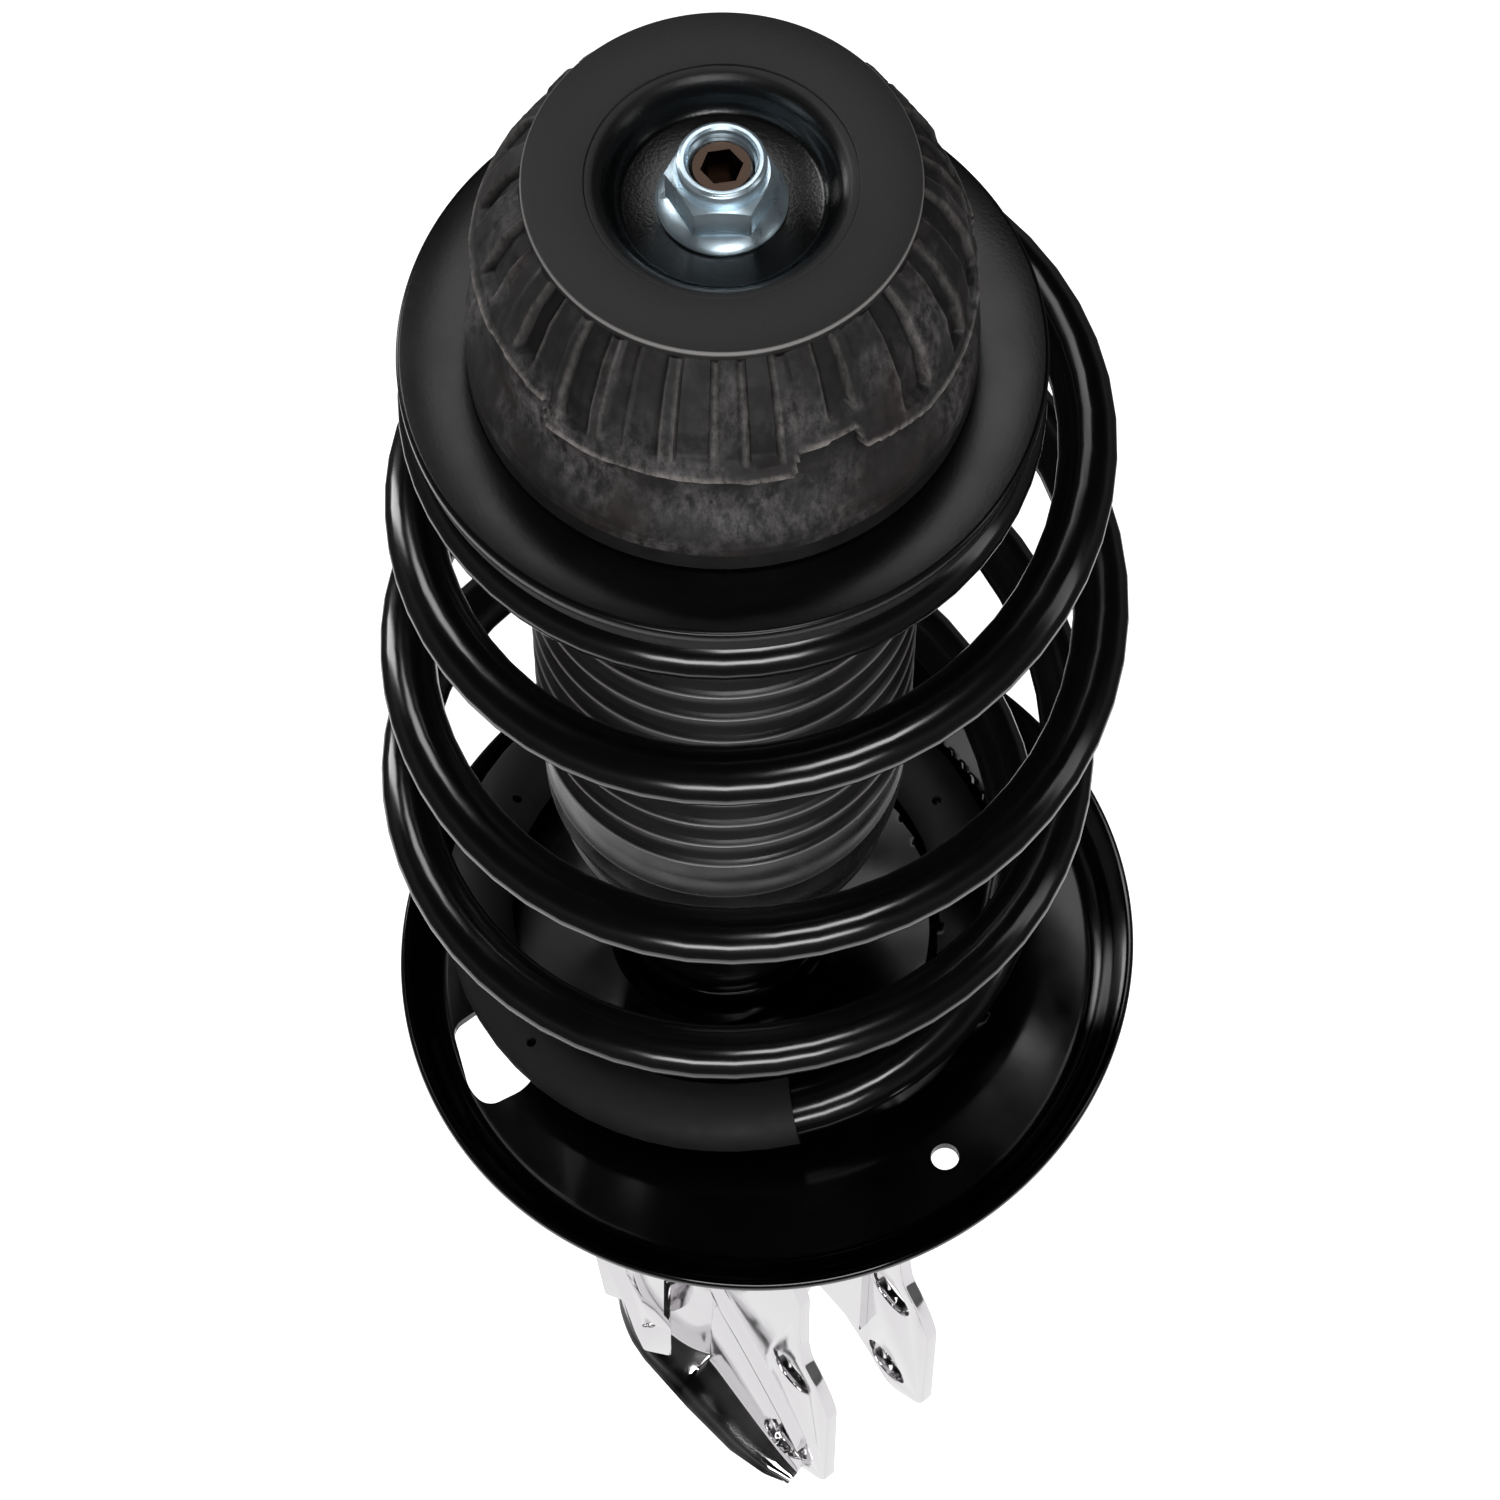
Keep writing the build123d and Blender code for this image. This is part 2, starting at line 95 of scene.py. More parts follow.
# The mount's overhanging lip steps down round its rim and is broken once: (angle, height in mm).
MOUNT_LIP = [
    (-180, -27), (-100, -24.5), (-84, -26), (-82, -33), (-45, -32), (-23, -33.2),
    (-21.5, -26.2), (-7.5, -24.6), (-6, -32.4), (14, -37.8), (60, -38), (62, -31), (180, -27)]

# The lower seat: a tipped round rim set forward of the tube, and a ring channel round the tube.
RIM_CENTRE = 16.7
RIM_HEIGHT = -352.0
RIM_SLOPE = (0.035, 0.063)
CHANNEL_HEIGHT = -363.0
CHANNEL_SLOPE = (0.036, -0.087)
CHANNEL_INNER = 57.0
CHANNEL_OUTER = 74.0
DISH_INNER = 28.6
DISH_OUTER = 92.2
DISH_WALL = 3.0
BOWL_DEPTH = 9.5
BOWL_FLAT = 86.0  # the bowl's floor ends here and curls up to its rim
BOWL_CURL = (6.3, 5.5)  # how far out and how far up
OFFSET_REACH = 85.0  # from here out the dish is round about the rim's centre
DRAIN_RADIUS = 3.7
DRAIN_CENTRE = (92.1, -1.1)
CUT_HEIGHTS = (-400, -330)  # below and above the dish
SLOT_OUTLINE = [(-23, -76), (-5.2, -84), (1.5, -83), (4, -72), (-1, -60), (-22, -58)]


def linear(colour):
    """Turns an sRGB hex colour into the linear one that shaders take."""
    channels = [int(colour[place:place + 2], 16) / 255 for place in (1, 3, 5)]
    return [c / 12.92 if c <= 0.04045 else ((c + 0.055) / 1.055) ** 2.4 for c in channels] + [1.0]


# --- sizes and colours ---

class StrutSizes(bpy.types.PropertyGroup):
    """Sizes that a user may change"""
    wire: FloatProperty(
        name="Wire", description="Thickness of the spring wire",
        default=13.5 * MM, min=8 * MM, max=16 * MM, unit="LENGTH")
    sleeve_wall: FloatProperty(
        name="Sleeve wall", description="Wall of the sleeve on the spring's last turn",
        default=1.5 * MM, min=0.5 * MM, max=3 * MM, unit="LENGTH")
    rib_count: IntProperty(
        name="Boot ribs", description="Number of ribs on the dust boot",
        default=14, min=5, max=30)
    rib_pitch: FloatProperty(
        name="Rib pitch", description="Distance from one boot rib to the next",
        default=11.15 * MM, min=4 * MM, max=20 * MM, unit="LENGTH")
    nut_flats: FloatProperty(
        name="Nut flats", description="Size of the top nut across its flats",
        default=21.0 * MM, min=17 * MM, max=24 * MM, unit="LENGTH")
    bracket_sheet: FloatProperty(
        name="Bracket sheet", description="Thickness of the knuckle bracket's steel",
        default=4.0 * MM, min=2 * MM, max=6 * MM, unit="LENGTH")


class StrutColours(bpy.types.PropertyGroup):
    """Colours that a user may change"""
    spring: FloatVectorProperty(
        name="Spring", description="Powder coat on the spring", subtype="COLOR", size=4,
        min=0, max=1, default=linear("#0b0b0c"))
    seat: FloatVectorProperty(
        name="Lower seat", description="Enamel on the lower seat", subtype="COLOR", size=4,
        min=0, max=1, default=linear("#030303"))
    plate: FloatVectorProperty(
        name="Plate", description="Coat on the top plate and the upper seat", subtype="COLOR", size=4,
        min=0, max=1, default=linear("#1c1b1b"))
    boot: FloatVectorProperty(
        name="Boot", description="Moulded rubber of the dust boot", subtype="COLOR", size=4,
        min=0, max=1, default=linear("#191818"))
    mount: FloatVectorProperty(
        name="Mount", description="Rubber of the top mount", subtype="COLOR", size=4,
        min=0, max=1, default=linear("#1c1b1b"))
    nut: FloatVectorProperty(
        name="Nut", description="Zinc plate on the top nut", subtype="COLOR", size=4,
        min=0, max=1, default=linear("#def3ff"))


# --- making finishes ---

def add_node(tree, kind, settings=None, links=None):
    """Adds one node, sets its sockets or its own settings, and links sockets or nodes to it."""
    node = tree.nodes.new("ShaderNode" + kind)
    for name, value in (settings or {}).items():
        if isinstance(name, int) or name in node.inputs:
            node.inputs[name].default_value = value
        else:
            setattr(node, name, value)
    for name, source in (links or {}).items():
        socket = source.outputs[0] if isinstance(source, bpy.types.Node) else source
        tree.links.new(socket, node.inputs[name])
    return node


def start_finish(name, settings):
    """A material with one surface shader, and its Object coordinates."""
    finish = bpy.data.materials.new(name)
    finish.use_nodes = True
    tree = finish.node_tree
    tree.nodes.clear()
    shader = add_node(tree, "BsdfPrincipled", settings)
    add_node(tree, "OutputMaterial", {}, {"Surface": shader})
    place = add_node(tree, "TexCoord").outputs["Object"]
    return finish, tree, shader, place


def mottle(tree, place, shader, size, low, high):
    """Lets the roughness wander between two values in soft patches of one size in mm."""
    cloud = add_node(tree, "TexNoise", {"Scale": 1000 / size, "Detail": 3.0}, {"Vector": place})
    spread = add_node(tree, "MapRange", {"From Min": 0.3, "From Max": 0.7, "To Min": low, "To Max": high},
                      {"Value": cloud})
    tree.links.new(spread.outputs[0], shader.inputs["Roughness"])
    return cloud


def roughen(tree, place, shader, size, height, strength, detail=2.0):
    """Gives the surface bumps of one size and height in mm."""
    grain = add_node(tree, "TexNoise", {"Scale": 1000 / size, "Detail": detail}, {"Vector": place})
    relief = add_node(tree, "Bump", {"Distance": height * MM, "Strength": strength}, {"Height": grain})
    tree.links.new(relief.outputs[0], shader.inputs["Normal"])


def axis_distance(tree, place):
    """How far a point is from the strut's axis."""
    flat = add_node(tree, "VectorMath", {"operation": "MULTIPLY", 1: (1.0, 1.0, 0.0)}, {0: place})
    reach = add_node(tree, "VectorMath", {"operation": "LENGTH"}, {0: flat})
    return reach.outputs["Value"]


def shaded(colour, share):
    """A linear colour darkened to a share of itself."""
    return [share * c for c in colour[:3]] + [1.0]


def patchy(name, settings, patch, gloss, grain, tints=None):
    """A finish whose gloss, and tint if it has two, wander in patches of one size in mm.

    The grain is the size, height and strength of its bumps.
    """
    finish, tree, shader, place = start_finish(name, settings)
    cloud = mottle(tree, place, shader, patch, *gloss)
    if tints:
        tint = add_node(tree, "Mix", {"data_type": "RGBA", 6: tints[0], 7: tints[1]}, {0: cloud})
        tree.links.new(tint.outputs[2], shader.inputs["Base Color"])
    roughen(tree, place, shader, *grain)
    return finish


def zinc_plate(colour):
    """Zinc plate with a blue passivate: a bright metal, faintly blue, cloudy where the bath dried."""
    return patchy("zinc_plated_steel", {"Metallic": 0.85}, 5.0, (0.24, 0.4), (0.8, 0.02, 0.5),
                  (shaded(colour, 0.85), colour))


def satin_coat(colour):
    """Satin powder coat: low sheen with the fine orange peel that the powder leaves as it melts."""
    return patchy("satin_black_seat_coat", {"Base Color": colour, "Specular IOR Level": 0.35},
                  14.0, (0.22, 0.27), (0.9, 0.035, 0.5))


def plate_coat(colour):
    """Black coat on the clamping plate: satin rim, glossy pebbled well painted near black as shade, outer
    edge painted pale as a highlight.
    """
    finish, tree, shader, place = start_finish("black_plate_coat", {"Specular IOR Level": 0.5})
    reach = axis_distance(tree, place)
    rim = add_node(tree, "MapRange", {"From Min": 25.0 * MM, "From Max": 28.0 * MM}, {"Value": reach})
    height = add_node(tree, "SeparateXYZ", {}, {0: place})
    upper = add_node(tree, "MapRange", {"From Min": -1.5 * MM, "From Max": -0.9 * MM},
                     {"Value": height.outputs["Z"]})
    # Painted highlight: a pale line along the rim's upper outer edge.
    outer = add_node(tree, "MapRange",
                     {"From Min": 42.1 * MM, "From Max": 42.4 * MM, "To Max": 0.55}, {"Value": reach})
    rim_edge_highlight = add_node(tree, "Math", {"operation": "MULTIPLY"}, {0: upper, 1: outer})
    # Painted shade: the well inside 25 to 28 mm is near black, on top of its glossier finish.
    coat_with_well_shade = add_node(tree, "Mix", {"data_type": "RGBA", 6: linear("#050505"), 7: colour}, {0: rim})
    edge = add_node(tree, "Mix", {"data_type": "RGBA", 7: linear("#a19e9c")},
                    {0: rim_edge_highlight, 6: coat_with_well_shade.outputs[2]})
    tree.links.new(edge.outputs[2], shader.inputs["Base Color"])
    gloss = add_node(tree, "MapRange", {"To Min": 0.24, "To Max": 0.5}, {"Value": rim})
    tree.links.new(gloss.outputs[0], shader.inputs["Roughness"])
    roughen(tree, place, shader, 0.75, 0.06, 0.7)
    return finish


def gloss_enamel(colour):
    """Stoved gloss enamel on pressed steel: deep black, long soft ripples and patches of less gloss."""
    return patchy("gloss_black_enamel", {"Base Color": colour, "Specular IOR Level": 0.36},
                  22.0, (0.09, 0.2), (9.0, 0.05, 0.25))


def spring_powder(colour):
    """Epoxy powder on spring wire: gloss black with a slight pebble from the shot-peened steel below."""
    return patchy("gloss_black_epoxy_powder", {"Base Color": colour, "Specular IOR Level": 0.6},
                  12.0, (0.14, 0.2), (3.0, 0.01, 0.2))


def mount_compound(colour):
    """Moulded natural rubber: chalky scuffs and brown stain, painted shade in pockets and under the lip,
    pale edges partly worn and partly a painted highlight on the lip.
    """
    finish, tree, shader, place = start_finish("moulded_natural_rubber", {"Specular IOR Level": 0.35})
    mottle(tree, place, shader, 9.0, 0.5, 0.75)
    streak = add_node(tree, "Mapping", {"Scale": (0.9, 0.9, 0.4), "Rotation": (0.5, 0.6, 0.0)},
                      {"Vector": place})
    rub = add_node(tree, "TexNoise", {"Scale": 1000 / 2.381, "Detail": 8.0, "Roughness": 0.75},
                   {"Vector": streak})
    scuff = add_node(tree, "MapRange", {"From Min": 0.42, "From Max": 0.72}, {"Value": rub})
    bloom = add_node(tree, "TexNoise", {"Scale": 1000 / 22.22, "Detail": 3.0}, {"Vector": place})
    patch = add_node(tree, "MapRange",
                     {"From Min": 0.42, "From Max": 0.68, "To Min": 0.05, "To Max": 0.75},
                     {"Value": bloom})
    both = add_node(tree, "Math", {"operation": "MULTIPLY"}, {0: scuff, 1: patch})
    stain = add_node(tree, "TexNoise", {"Scale": 1000 / 16.13, "Detail": 2.0}, {"Vector": place})
    brown = add_node(tree, "MapRange", {"From Min": 0.5, "From Max": 0.72}, {"Value": stain})
    under = add_node(tree, "Mix", {"data_type": "RGBA", 6: colour, 7: linear("#231b1b")}, {0: brown})
    over = add_node(tree, "Mix", {"data_type": "RGBA", 7: linear("#767272")},
                    {0: both, 6: under.outputs[2]})
    # Painted shade: the rubber is darkened under the lip and down in the pockets, where shade falls.
    painted_shade_amount = add_node(tree, "Attribute", {"attribute_name": "lip_and_pocket_shade"}).outputs["Fac"]
    with_painted_shade = add_node(tree, "Mix", {"data_type": "RGBA", 7: linear("#070606")},
                     {0: painted_shade_amount, 6: over.outputs[2]})
    # Pale edges: a painted highlight along the lip's edge, and scraped wear at the pockets' edges.
    edges = add_node(tree, "Attribute", {"attribute_name": "wear_and_lip_highlight"}).outputs["Fac"]
    broken = add_node(tree, "MapRange", {"From Min": 0.35, "From Max": 0.6, "To Min": 0.1, "To Max": 0.85},
                      {"Value": rub})
    scraped_and_highlighted = add_node(tree, "Math", {"operation": "MULTIPLY"}, {0: edges, 1: broken})
    worn_and_highlighted = add_node(tree, "Mix", {"data_type": "RGBA", 7: linear("#8b8581")},
                    {0: scraped_and_highlighted, 6: with_painted_shade.outputs[2]})
    tree.links.new(worn_and_highlighted.outputs[2], shader.inputs["Base Color"])
    roughen(tree, place, shader, 0.7, 0.05, 0.6, 4.0)
    return finish


def boot_rubber(colour):
    """Blow-moulded thermoplastic rubber: smoky semi-gloss, a painted highlight on its thin rib crests,
    glossier at the hem.
    """
    finish, tree, shader, place = start_finish("blow_moulded_boot_rubber", {"Specular IOR Level": 0.5})
    # Painted highlight: the rib crests, out past 46 mm from the axis, are tinted pale.
    crest = add_node(tree, "MapRange", {"From Min": 46.0 * MM, "From Max": 46.45 * MM},
                     {"Value": axis_distance(tree, place)})
    tint = add_node(tree, "Mix", {"data_type": "RGBA", 6: colour, 7: linear("#7b7778")}, {0: crest})
    tree.links.new(tint.outputs[2], shader.inputs["Base Color"])
    height = add_node(tree, "SeparateXYZ", {}, {0: place})
    hem = add_node(tree, "MapRange",
                   {"From Min": -230.0 * MM, "From Max": -246.0 * MM, "To Min": 0.3, "To Max": 0.24},
                   {"Value": height.outputs["Z"]})
    cloud = add_node(tree, "TexNoise", {"Scale": 1000 / 16.13, "Detail": 3.0}, {"Vector": place})
    wander = add_node(tree, "MapRange", {"From Min": 0.3, "From Max": 0.7, "To Min": -0.06, "To Max": 0.1},
                      {"Value": cloud})
    gloss = add_node(tree, "Math", {"operation": "ADD"}, {0: hem, 1: wander})
    tree.links.new(gloss.outputs[0], shader.inputs["Roughness"])
    roughen(tree, place, shader, 3.0, 0.04, 0.3)
    return finish


def matte_sleeve():
    """Extruded EPDM sleeve: matte dark grey with a fine grain and dust in it."""
    return patchy("extruded_sleeve_rubber", {"Specular IOR Level": 0.3}, 7.0, (0.6, 0.78),
                  (0.8, 0.05, 0.6), (linear("#111112"), linear("#1d1d1f")))


def bright_sheet():
    """Bright nickel over pressed steel: a mirror with slow ripples and faint smears from handling."""
    return patchy("bright_plated_steel", {"Base Color": linear("#dddbdd"), "Metallic": 1.0},
                  11.0, (0.05, 0.16), (12.0, 0.12, 0.35))


def rod_finish():
    """Hard chrome on the rod; the stud above its shoulder keeps a brown manganese phosphate."""
    finish, tree, shader, place = start_finish("chromed_rod_with_phosphated_stud", {"Metallic": 1.0})
    height = add_node(tree, "SeparateXYZ", {}, {0: place})
    stud = add_node(tree, "MapRange", {"From Min": -52.2 * MM, "From Max": -51.8 * MM},
                    {"Value": height.outputs["Z"]})
    tint = add_node(tree, "Mix", {"data_type": "RGBA", 6: linear("#d8dadc"), 7: linear("#4d3f37")},
                    {0: stud})
    tree.links.new(tint.outputs[2], shader.inputs["Base Color"])
    grind = add_node(tree, "MapRange", {"To Min": 0.09, "To Max": 0.36}, {"Value": stud})
    tree.links.new(grind.outputs[0], shader.inputs["Roughness"])
    roughen(tree, place, shader, 0.9, 0.03, 0.4)
    return finish


def machined_metal(name, colour, low, high, grain):
    """A cut or ground metal: its own tint, with the tool's grain of one size in mm and cloudy gloss."""
    return patchy(name, {"Metallic": 1.0}, 6.0, (low, high), (grain, 0.02, 0.5),
                  (shaded(linear(colour), 0.75), linear(colour)))


def moulded_part(name, colour, low, high, grain):
    """A moulded plastic, foam or seal rubber: its own tint, with the mould's grain of one size in mm."""
    return patchy(name, {}, 8.0, (low, high), (grain, 0.06, 0.5),
                  (shaded(linear(colour), 0.7), linear(colour)))


# --- making shapes ---

def ease(share):
    """0 to 1 with soft ends."""
    share = min(1.0, max(0.0, share))
    return share * share * (3 - 2 * share)


def shade(mesh, sharp):
    """Shades a mesh smooth, with crisp edges where faces meet at more than an angle in degrees."""
    mesh.shade_smooth()
    mesh.set_sharp_from_angle(angle=math.radians(sharp))


def between(stations, place):
    """Reads a value between stations of (place, value)."""
    for (start, low), (end, high) in zip(stations, stations[1:]):
        if place <= end:
            return low + (high - low) * max(0.0, (place - start) / (end - start))
    return stations[-1][1]


def show(name, bm, finish, sharp=32.0):
    """Puts a bmesh in the scene as one smooth-shaded piece with crisp corners."""
    bm.normal_update()
    mesh = bpy.data.meshes.new(name)
    bm.to_mesh(mesh)
    bm.free()
    shade(mesh, sharp)
    piece = bpy.data.objects.new(name, mesh)
    bpy.context.scene.collection.objects.link(piece)
    mesh.materials.append(finish)
    return piece


def settle(piece):
    """Applies a piece's modifiers to its mesh."""
    bpy.context.view_layer.update()
    ready = piece.evaluated_get(bpy.context.evaluated_depsgraph_get())
    mesh = bpy.data.meshes.new_from_object(ready)
    piece.modifiers.clear()
    piece.data = mesh


def break_edges(piece, width, segments):
    """Applies a piece's modifiers with a small bevel, its width in mm, on its sharp edges."""
    edge = piece.modifiers.new("edge", "BEVEL")
    edge.width = width * MM
    edge.segments = segments
    edge.angle_limit = math.radians(60)
    settle(piece)


def combine(piece, tools, operation="DIFFERENCE"):
    """Cuts from, adds to or trims a piece with other pieces, which are then removed."""
    for tool in tools:
        join = piece.modifiers.new(operation, "BOOLEAN")
        join.operation = operation
        join.object = tool
        join.solver = "EXACT"
    settle(piece)
    for tool in tools:
        bpy.data.objects.remove(tool)


def bevel(bm, geom, size, segments, kind):
    """Bevels the vertices or edges of a mesh by one size in mm."""
    bmesh.ops.bevel(bm, geom=geom, offset=size * MM, segments=segments, profile=0.5, affect=kind,
                    material=-1)


def turned(outline, steps, rounds=None):
    """A closed (radius, height) outline in mm, some corners rounded, spun about the strut's axis."""
    bm = bmesh.new()
    corners = [bm.verts.new((radius * MM, 0, height * MM)) for radius, height in outline]
    for here, there in zip(corners, corners[1:] + corners[:1]):
        bm.edges.new((here, there))
    for place, size in (rounds or {}).items():
        bevel(bm, [corners[place]], size, 3, "VERTICES")
    bmesh.ops.spin(bm, geom=bm.verts[:] + bm.edges[:], cent=(0, 0, 0), axis=(0, 0, 1),
                   angle=math.radians(360), steps=steps, use_merge=True)
    bmesh.ops.remove_doubles(bm, verts=bm.verts, dist=1e-7)
    bmesh.ops.recalc_face_normals(bm, faces=bm.faces)
    return bm


def rod_cutter(radius, start, end, sides=48):
    """A round cutter between two points in mm."""
    start, end = Vector(start), Vector(end)
    bm = bmesh.new()
    turn = (end - start).to_track_quat("Z", "Y").to_matrix().to_4x4()
    bmesh.ops.create_cone(bm, cap_ends=True, segments=sides, radius1=radius * MM, radius2=radius * MM,
                          depth=(end - start).length * MM,
                          matrix=Matrix.Translation((start + end) / 2 * MM) @ turn)
    return show("cutter", bm, None)


def extruded(outline, low, high, round_size=0.0):
    """A flat outline in mm, extruded upward, with its upright corners rounded."""
    bm = bmesh.new()
    face = bm.faces.new([bm.verts.new((x * MM, y * MM, low * MM)) for x, y in outline])
    if round_size:
        bevel(bm, face.verts[:], round_size, 5, "VERTICES")
    bm.faces.ensure_lookup_table()
    raised = bmesh.ops.extrude_face_region(bm, geom=bm.faces[:])
    bmesh.ops.translate(bm, vec=(0, 0, (high - low) * MM),
                        verts=[item for item in raised["geom"] if isinstance(item, bmesh.types.BMVert)])
    bmesh.ops.recalc_face_normals(bm, faces=bm.faces)
    return bm


def finish_piece(piece, body, slot, *nodes):
    """Hangs a piece on its body and hides the parts that it stands for."""
    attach(piece, body)
    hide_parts(*nodes)


def coil_point(quarter):
    """Wire centre in mm at a distance in quarter turns from the upper end."""
    index = min(int(quarter), len(COIL_QUARTERS) - 2)
    share = quarter - index
    before, start, end, after = [
        Vector(COIL_QUARTERS[min(max(place, 0), len(COIL_QUARTERS) - 1)])
        for place in range(index - 1, index + 3)]
    enter, leave, rise = (end - before) / 2, (after - start) / 2, end - start
    at = start + enter * share + (3 * rise - 2 * enter - leave) * share ** 2
    at += (enter + leave - 2 * rise) * share ** 3
    angle = math.radians(COIL_START - 90.0 * quarter)
    return Vector((at[0] * math.cos(angle), at[0] * math.sin(angle), at[1]))


def wire_mesh(name, first, last, radius, caps, finish):
    """A round section carried along the spring's line."""
    count = round((last - first) * COIL_STEPS)
    curve = bpy.data.curves.new(name, "CURVE")
    curve.dimensions = "3D"
    curve.bevel_depth = radius
    curve.bevel_resolution = 12
    curve.use_fill_caps = caps
    spline = curve.splines.new("POLY")
    spline.points.add(count)
    for index, point in enumerate(spline.points):
        point.co = (*(coil_point(first + (last - first) * index / count) * MM), 1.0)
    carrier = bpy.data.objects.new(name, curve)
    bpy.context.scene.collection.objects.link(carrier)
    bpy.context.view_layer.update()
    mesh = bpy.data.meshes.new_from_object(carrier.evaluated_get(bpy.context.evaluated_depsgraph_get()))
    bpy.data.objects.remove(carrier)
    bm = bmesh.new()
    bm.from_mesh(mesh)
    bmesh.ops.remove_doubles(bm, verts=bm.verts, dist=1e-6)
    bmesh.ops.recalc_face_normals(bm, faces=bm.faces)
    if caps:
        rims = [edge for edge in bm.edges if len(edge.link_faces) == 2 and edge.calc_face_angle() > 1.0]
        bevel(bm, rims, 0.5, 2, "EDGES")
    return show(name, bm, finish)


# --- pieces ---

def make_nut(sizes, colours):
    """Flange nut: chamfered hexagon on a cone, a round collar and a cut thread in the bore."""
    finish = zinc_plate(colours.nut)
    nut = show("flange_nut", turned([
        (8.0, -8), (14.1, -8), (14.1, -7.3), (13.6, -6.8), (11.6, -5.5), (9.4, -5.0), (9.4, 5.0),
        (9.6, 5.2), (9.6, 7.3), (8.9, 8.0), (8.0, 7.9), (7.55, 7.3), (7.55, -4)],
        120, {1: 0.2, 3: 0.3, 8: 0.3, 9: 0.3}), finish)
    hexagon = bmesh.new()
    corner = sizes.nut_flats / math.sqrt(3)
    as_tightened = Matrix.Rotation(math.radians(20.7), 4, "Z")
    bmesh.ops.create_cone(hexagon, cap_ends=True, segments=6, radius1=corner, radius2=corner,
                          depth=10.4 * MM, matrix=Matrix.Translation((0, 0, -1.8 * MM)) @ as_tightened)
    upright = [e for e in hexagon.edges if abs(e.verts[0].co.z - e.verts[1].co.z) > MM]
    bevel(hexagon, upright, 0.25, 2, "EDGES")
    flats = show("nut_flats", hexagon, finish)
    shaper = show("nut_chamfer", turned([
        (7.8, -7.2), (13.5, -7.2), (13.5, 1.4), (12.3, 2.2), (9.9, 3.6), (7.8, 3.6)], 120), finish)
    combine(flats, [shaper], "INTERSECT")
    combine(nut, [flats], "UNION")
    thread = bmesh.new()
    ridge = [thread.verts.new((r * MM, 0, z * MM)) for r, z in [(7.7, -0.62), (7.08, 0.0), (7.7, 0.62)]]
    section = thread.faces.new(ridge)
    turns, steps, pitch, first = 8, 48, 1.5, -5.6
    bmesh.ops.translate(thread, vec=(0, 0, first * MM), verts=ridge)
    swept = bmesh.ops.spin(thread, geom=section.verts[:] + section.edges[:], cent=(0, 0, 0),
                           axis=(0, 0, 1), dvec=(0, 0, pitch * MM / steps),
                           angle=math.radians(360 * turns), steps=steps * turns)
    thread.faces.new([item for item in swept["geom_last"] if isinstance(item, bmesh.types.BMVert)])
    bmesh.ops.recalc_face_normals(thread, faces=thread.faces)
    cut_thread = show("nut_thread", thread, finish)
    shade(nut.data, 28)
    finish_piece(nut, "top_mount", "zinc_nut", "top_nut")
    finish_piece(cut_thread, "top_mount", "zinc_nut")


def make_top_plate(colours):
    """Dished clamping plate: flat rim, a fine ring step, a rolled shoulder and a deep well."""
    outline = [
        (42.5, 0), (42.5, -3), (26.5, -3), (22.5, -11), (7.1, -11), (7.1, -8), (21.2, -8), (22.6, -7.2),
        (23.6, -5.6), (24.6, -3.2), (26.2, -1.3), (27.6, -0.55), (29.0, -0.5), (29.2, 0)]
    plate = show("seat_plate", turned(outline, 240, {0: 0.45, 1: 0.3, 7: 0.8, 9: 1.2, 10: 1.0, 13: 0.15}),
                 plate_coat(colours.plate))
    finish_piece(plate, "top_mount", "black_plate", "top_plate")


def pocket_depth(angle, height):
    """How far the mould's pockets, the lip and wear set the mount's wall back, in mm."""
    lip = between(MOUNT_LIP, angle)
    below = ease((lip - height) / 0.5)
    depth = 2.6 * below * ease((height + 55) / 9) - 0.9 * (1 - below) * ease((lip + 3.0 - height) / 2.5)
    nearest = round((angle + 180) * POCKETS / 360)
    for index in range(max(0, nearest - 1), min(POCKETS, nearest + 2)):
        centre = -180 + index * 360 / POCKETS + 1.6 * math.sin(index * 2.3)
        half = 3.5 + 0.9 * math.sin(index * 1.9 + 1.0)
        side = ease((half - abs((angle - centre + 180) % 360 - 180)) / 0.9 + 0.5)
        foot = ease((height - lip - 4.2) / 1.2)
        depth += (1.4 + 1.0 * math.sin(index * 2.9)) * side * foot * ease((-1.0 - height) / 3 + 0.4)
    return depth


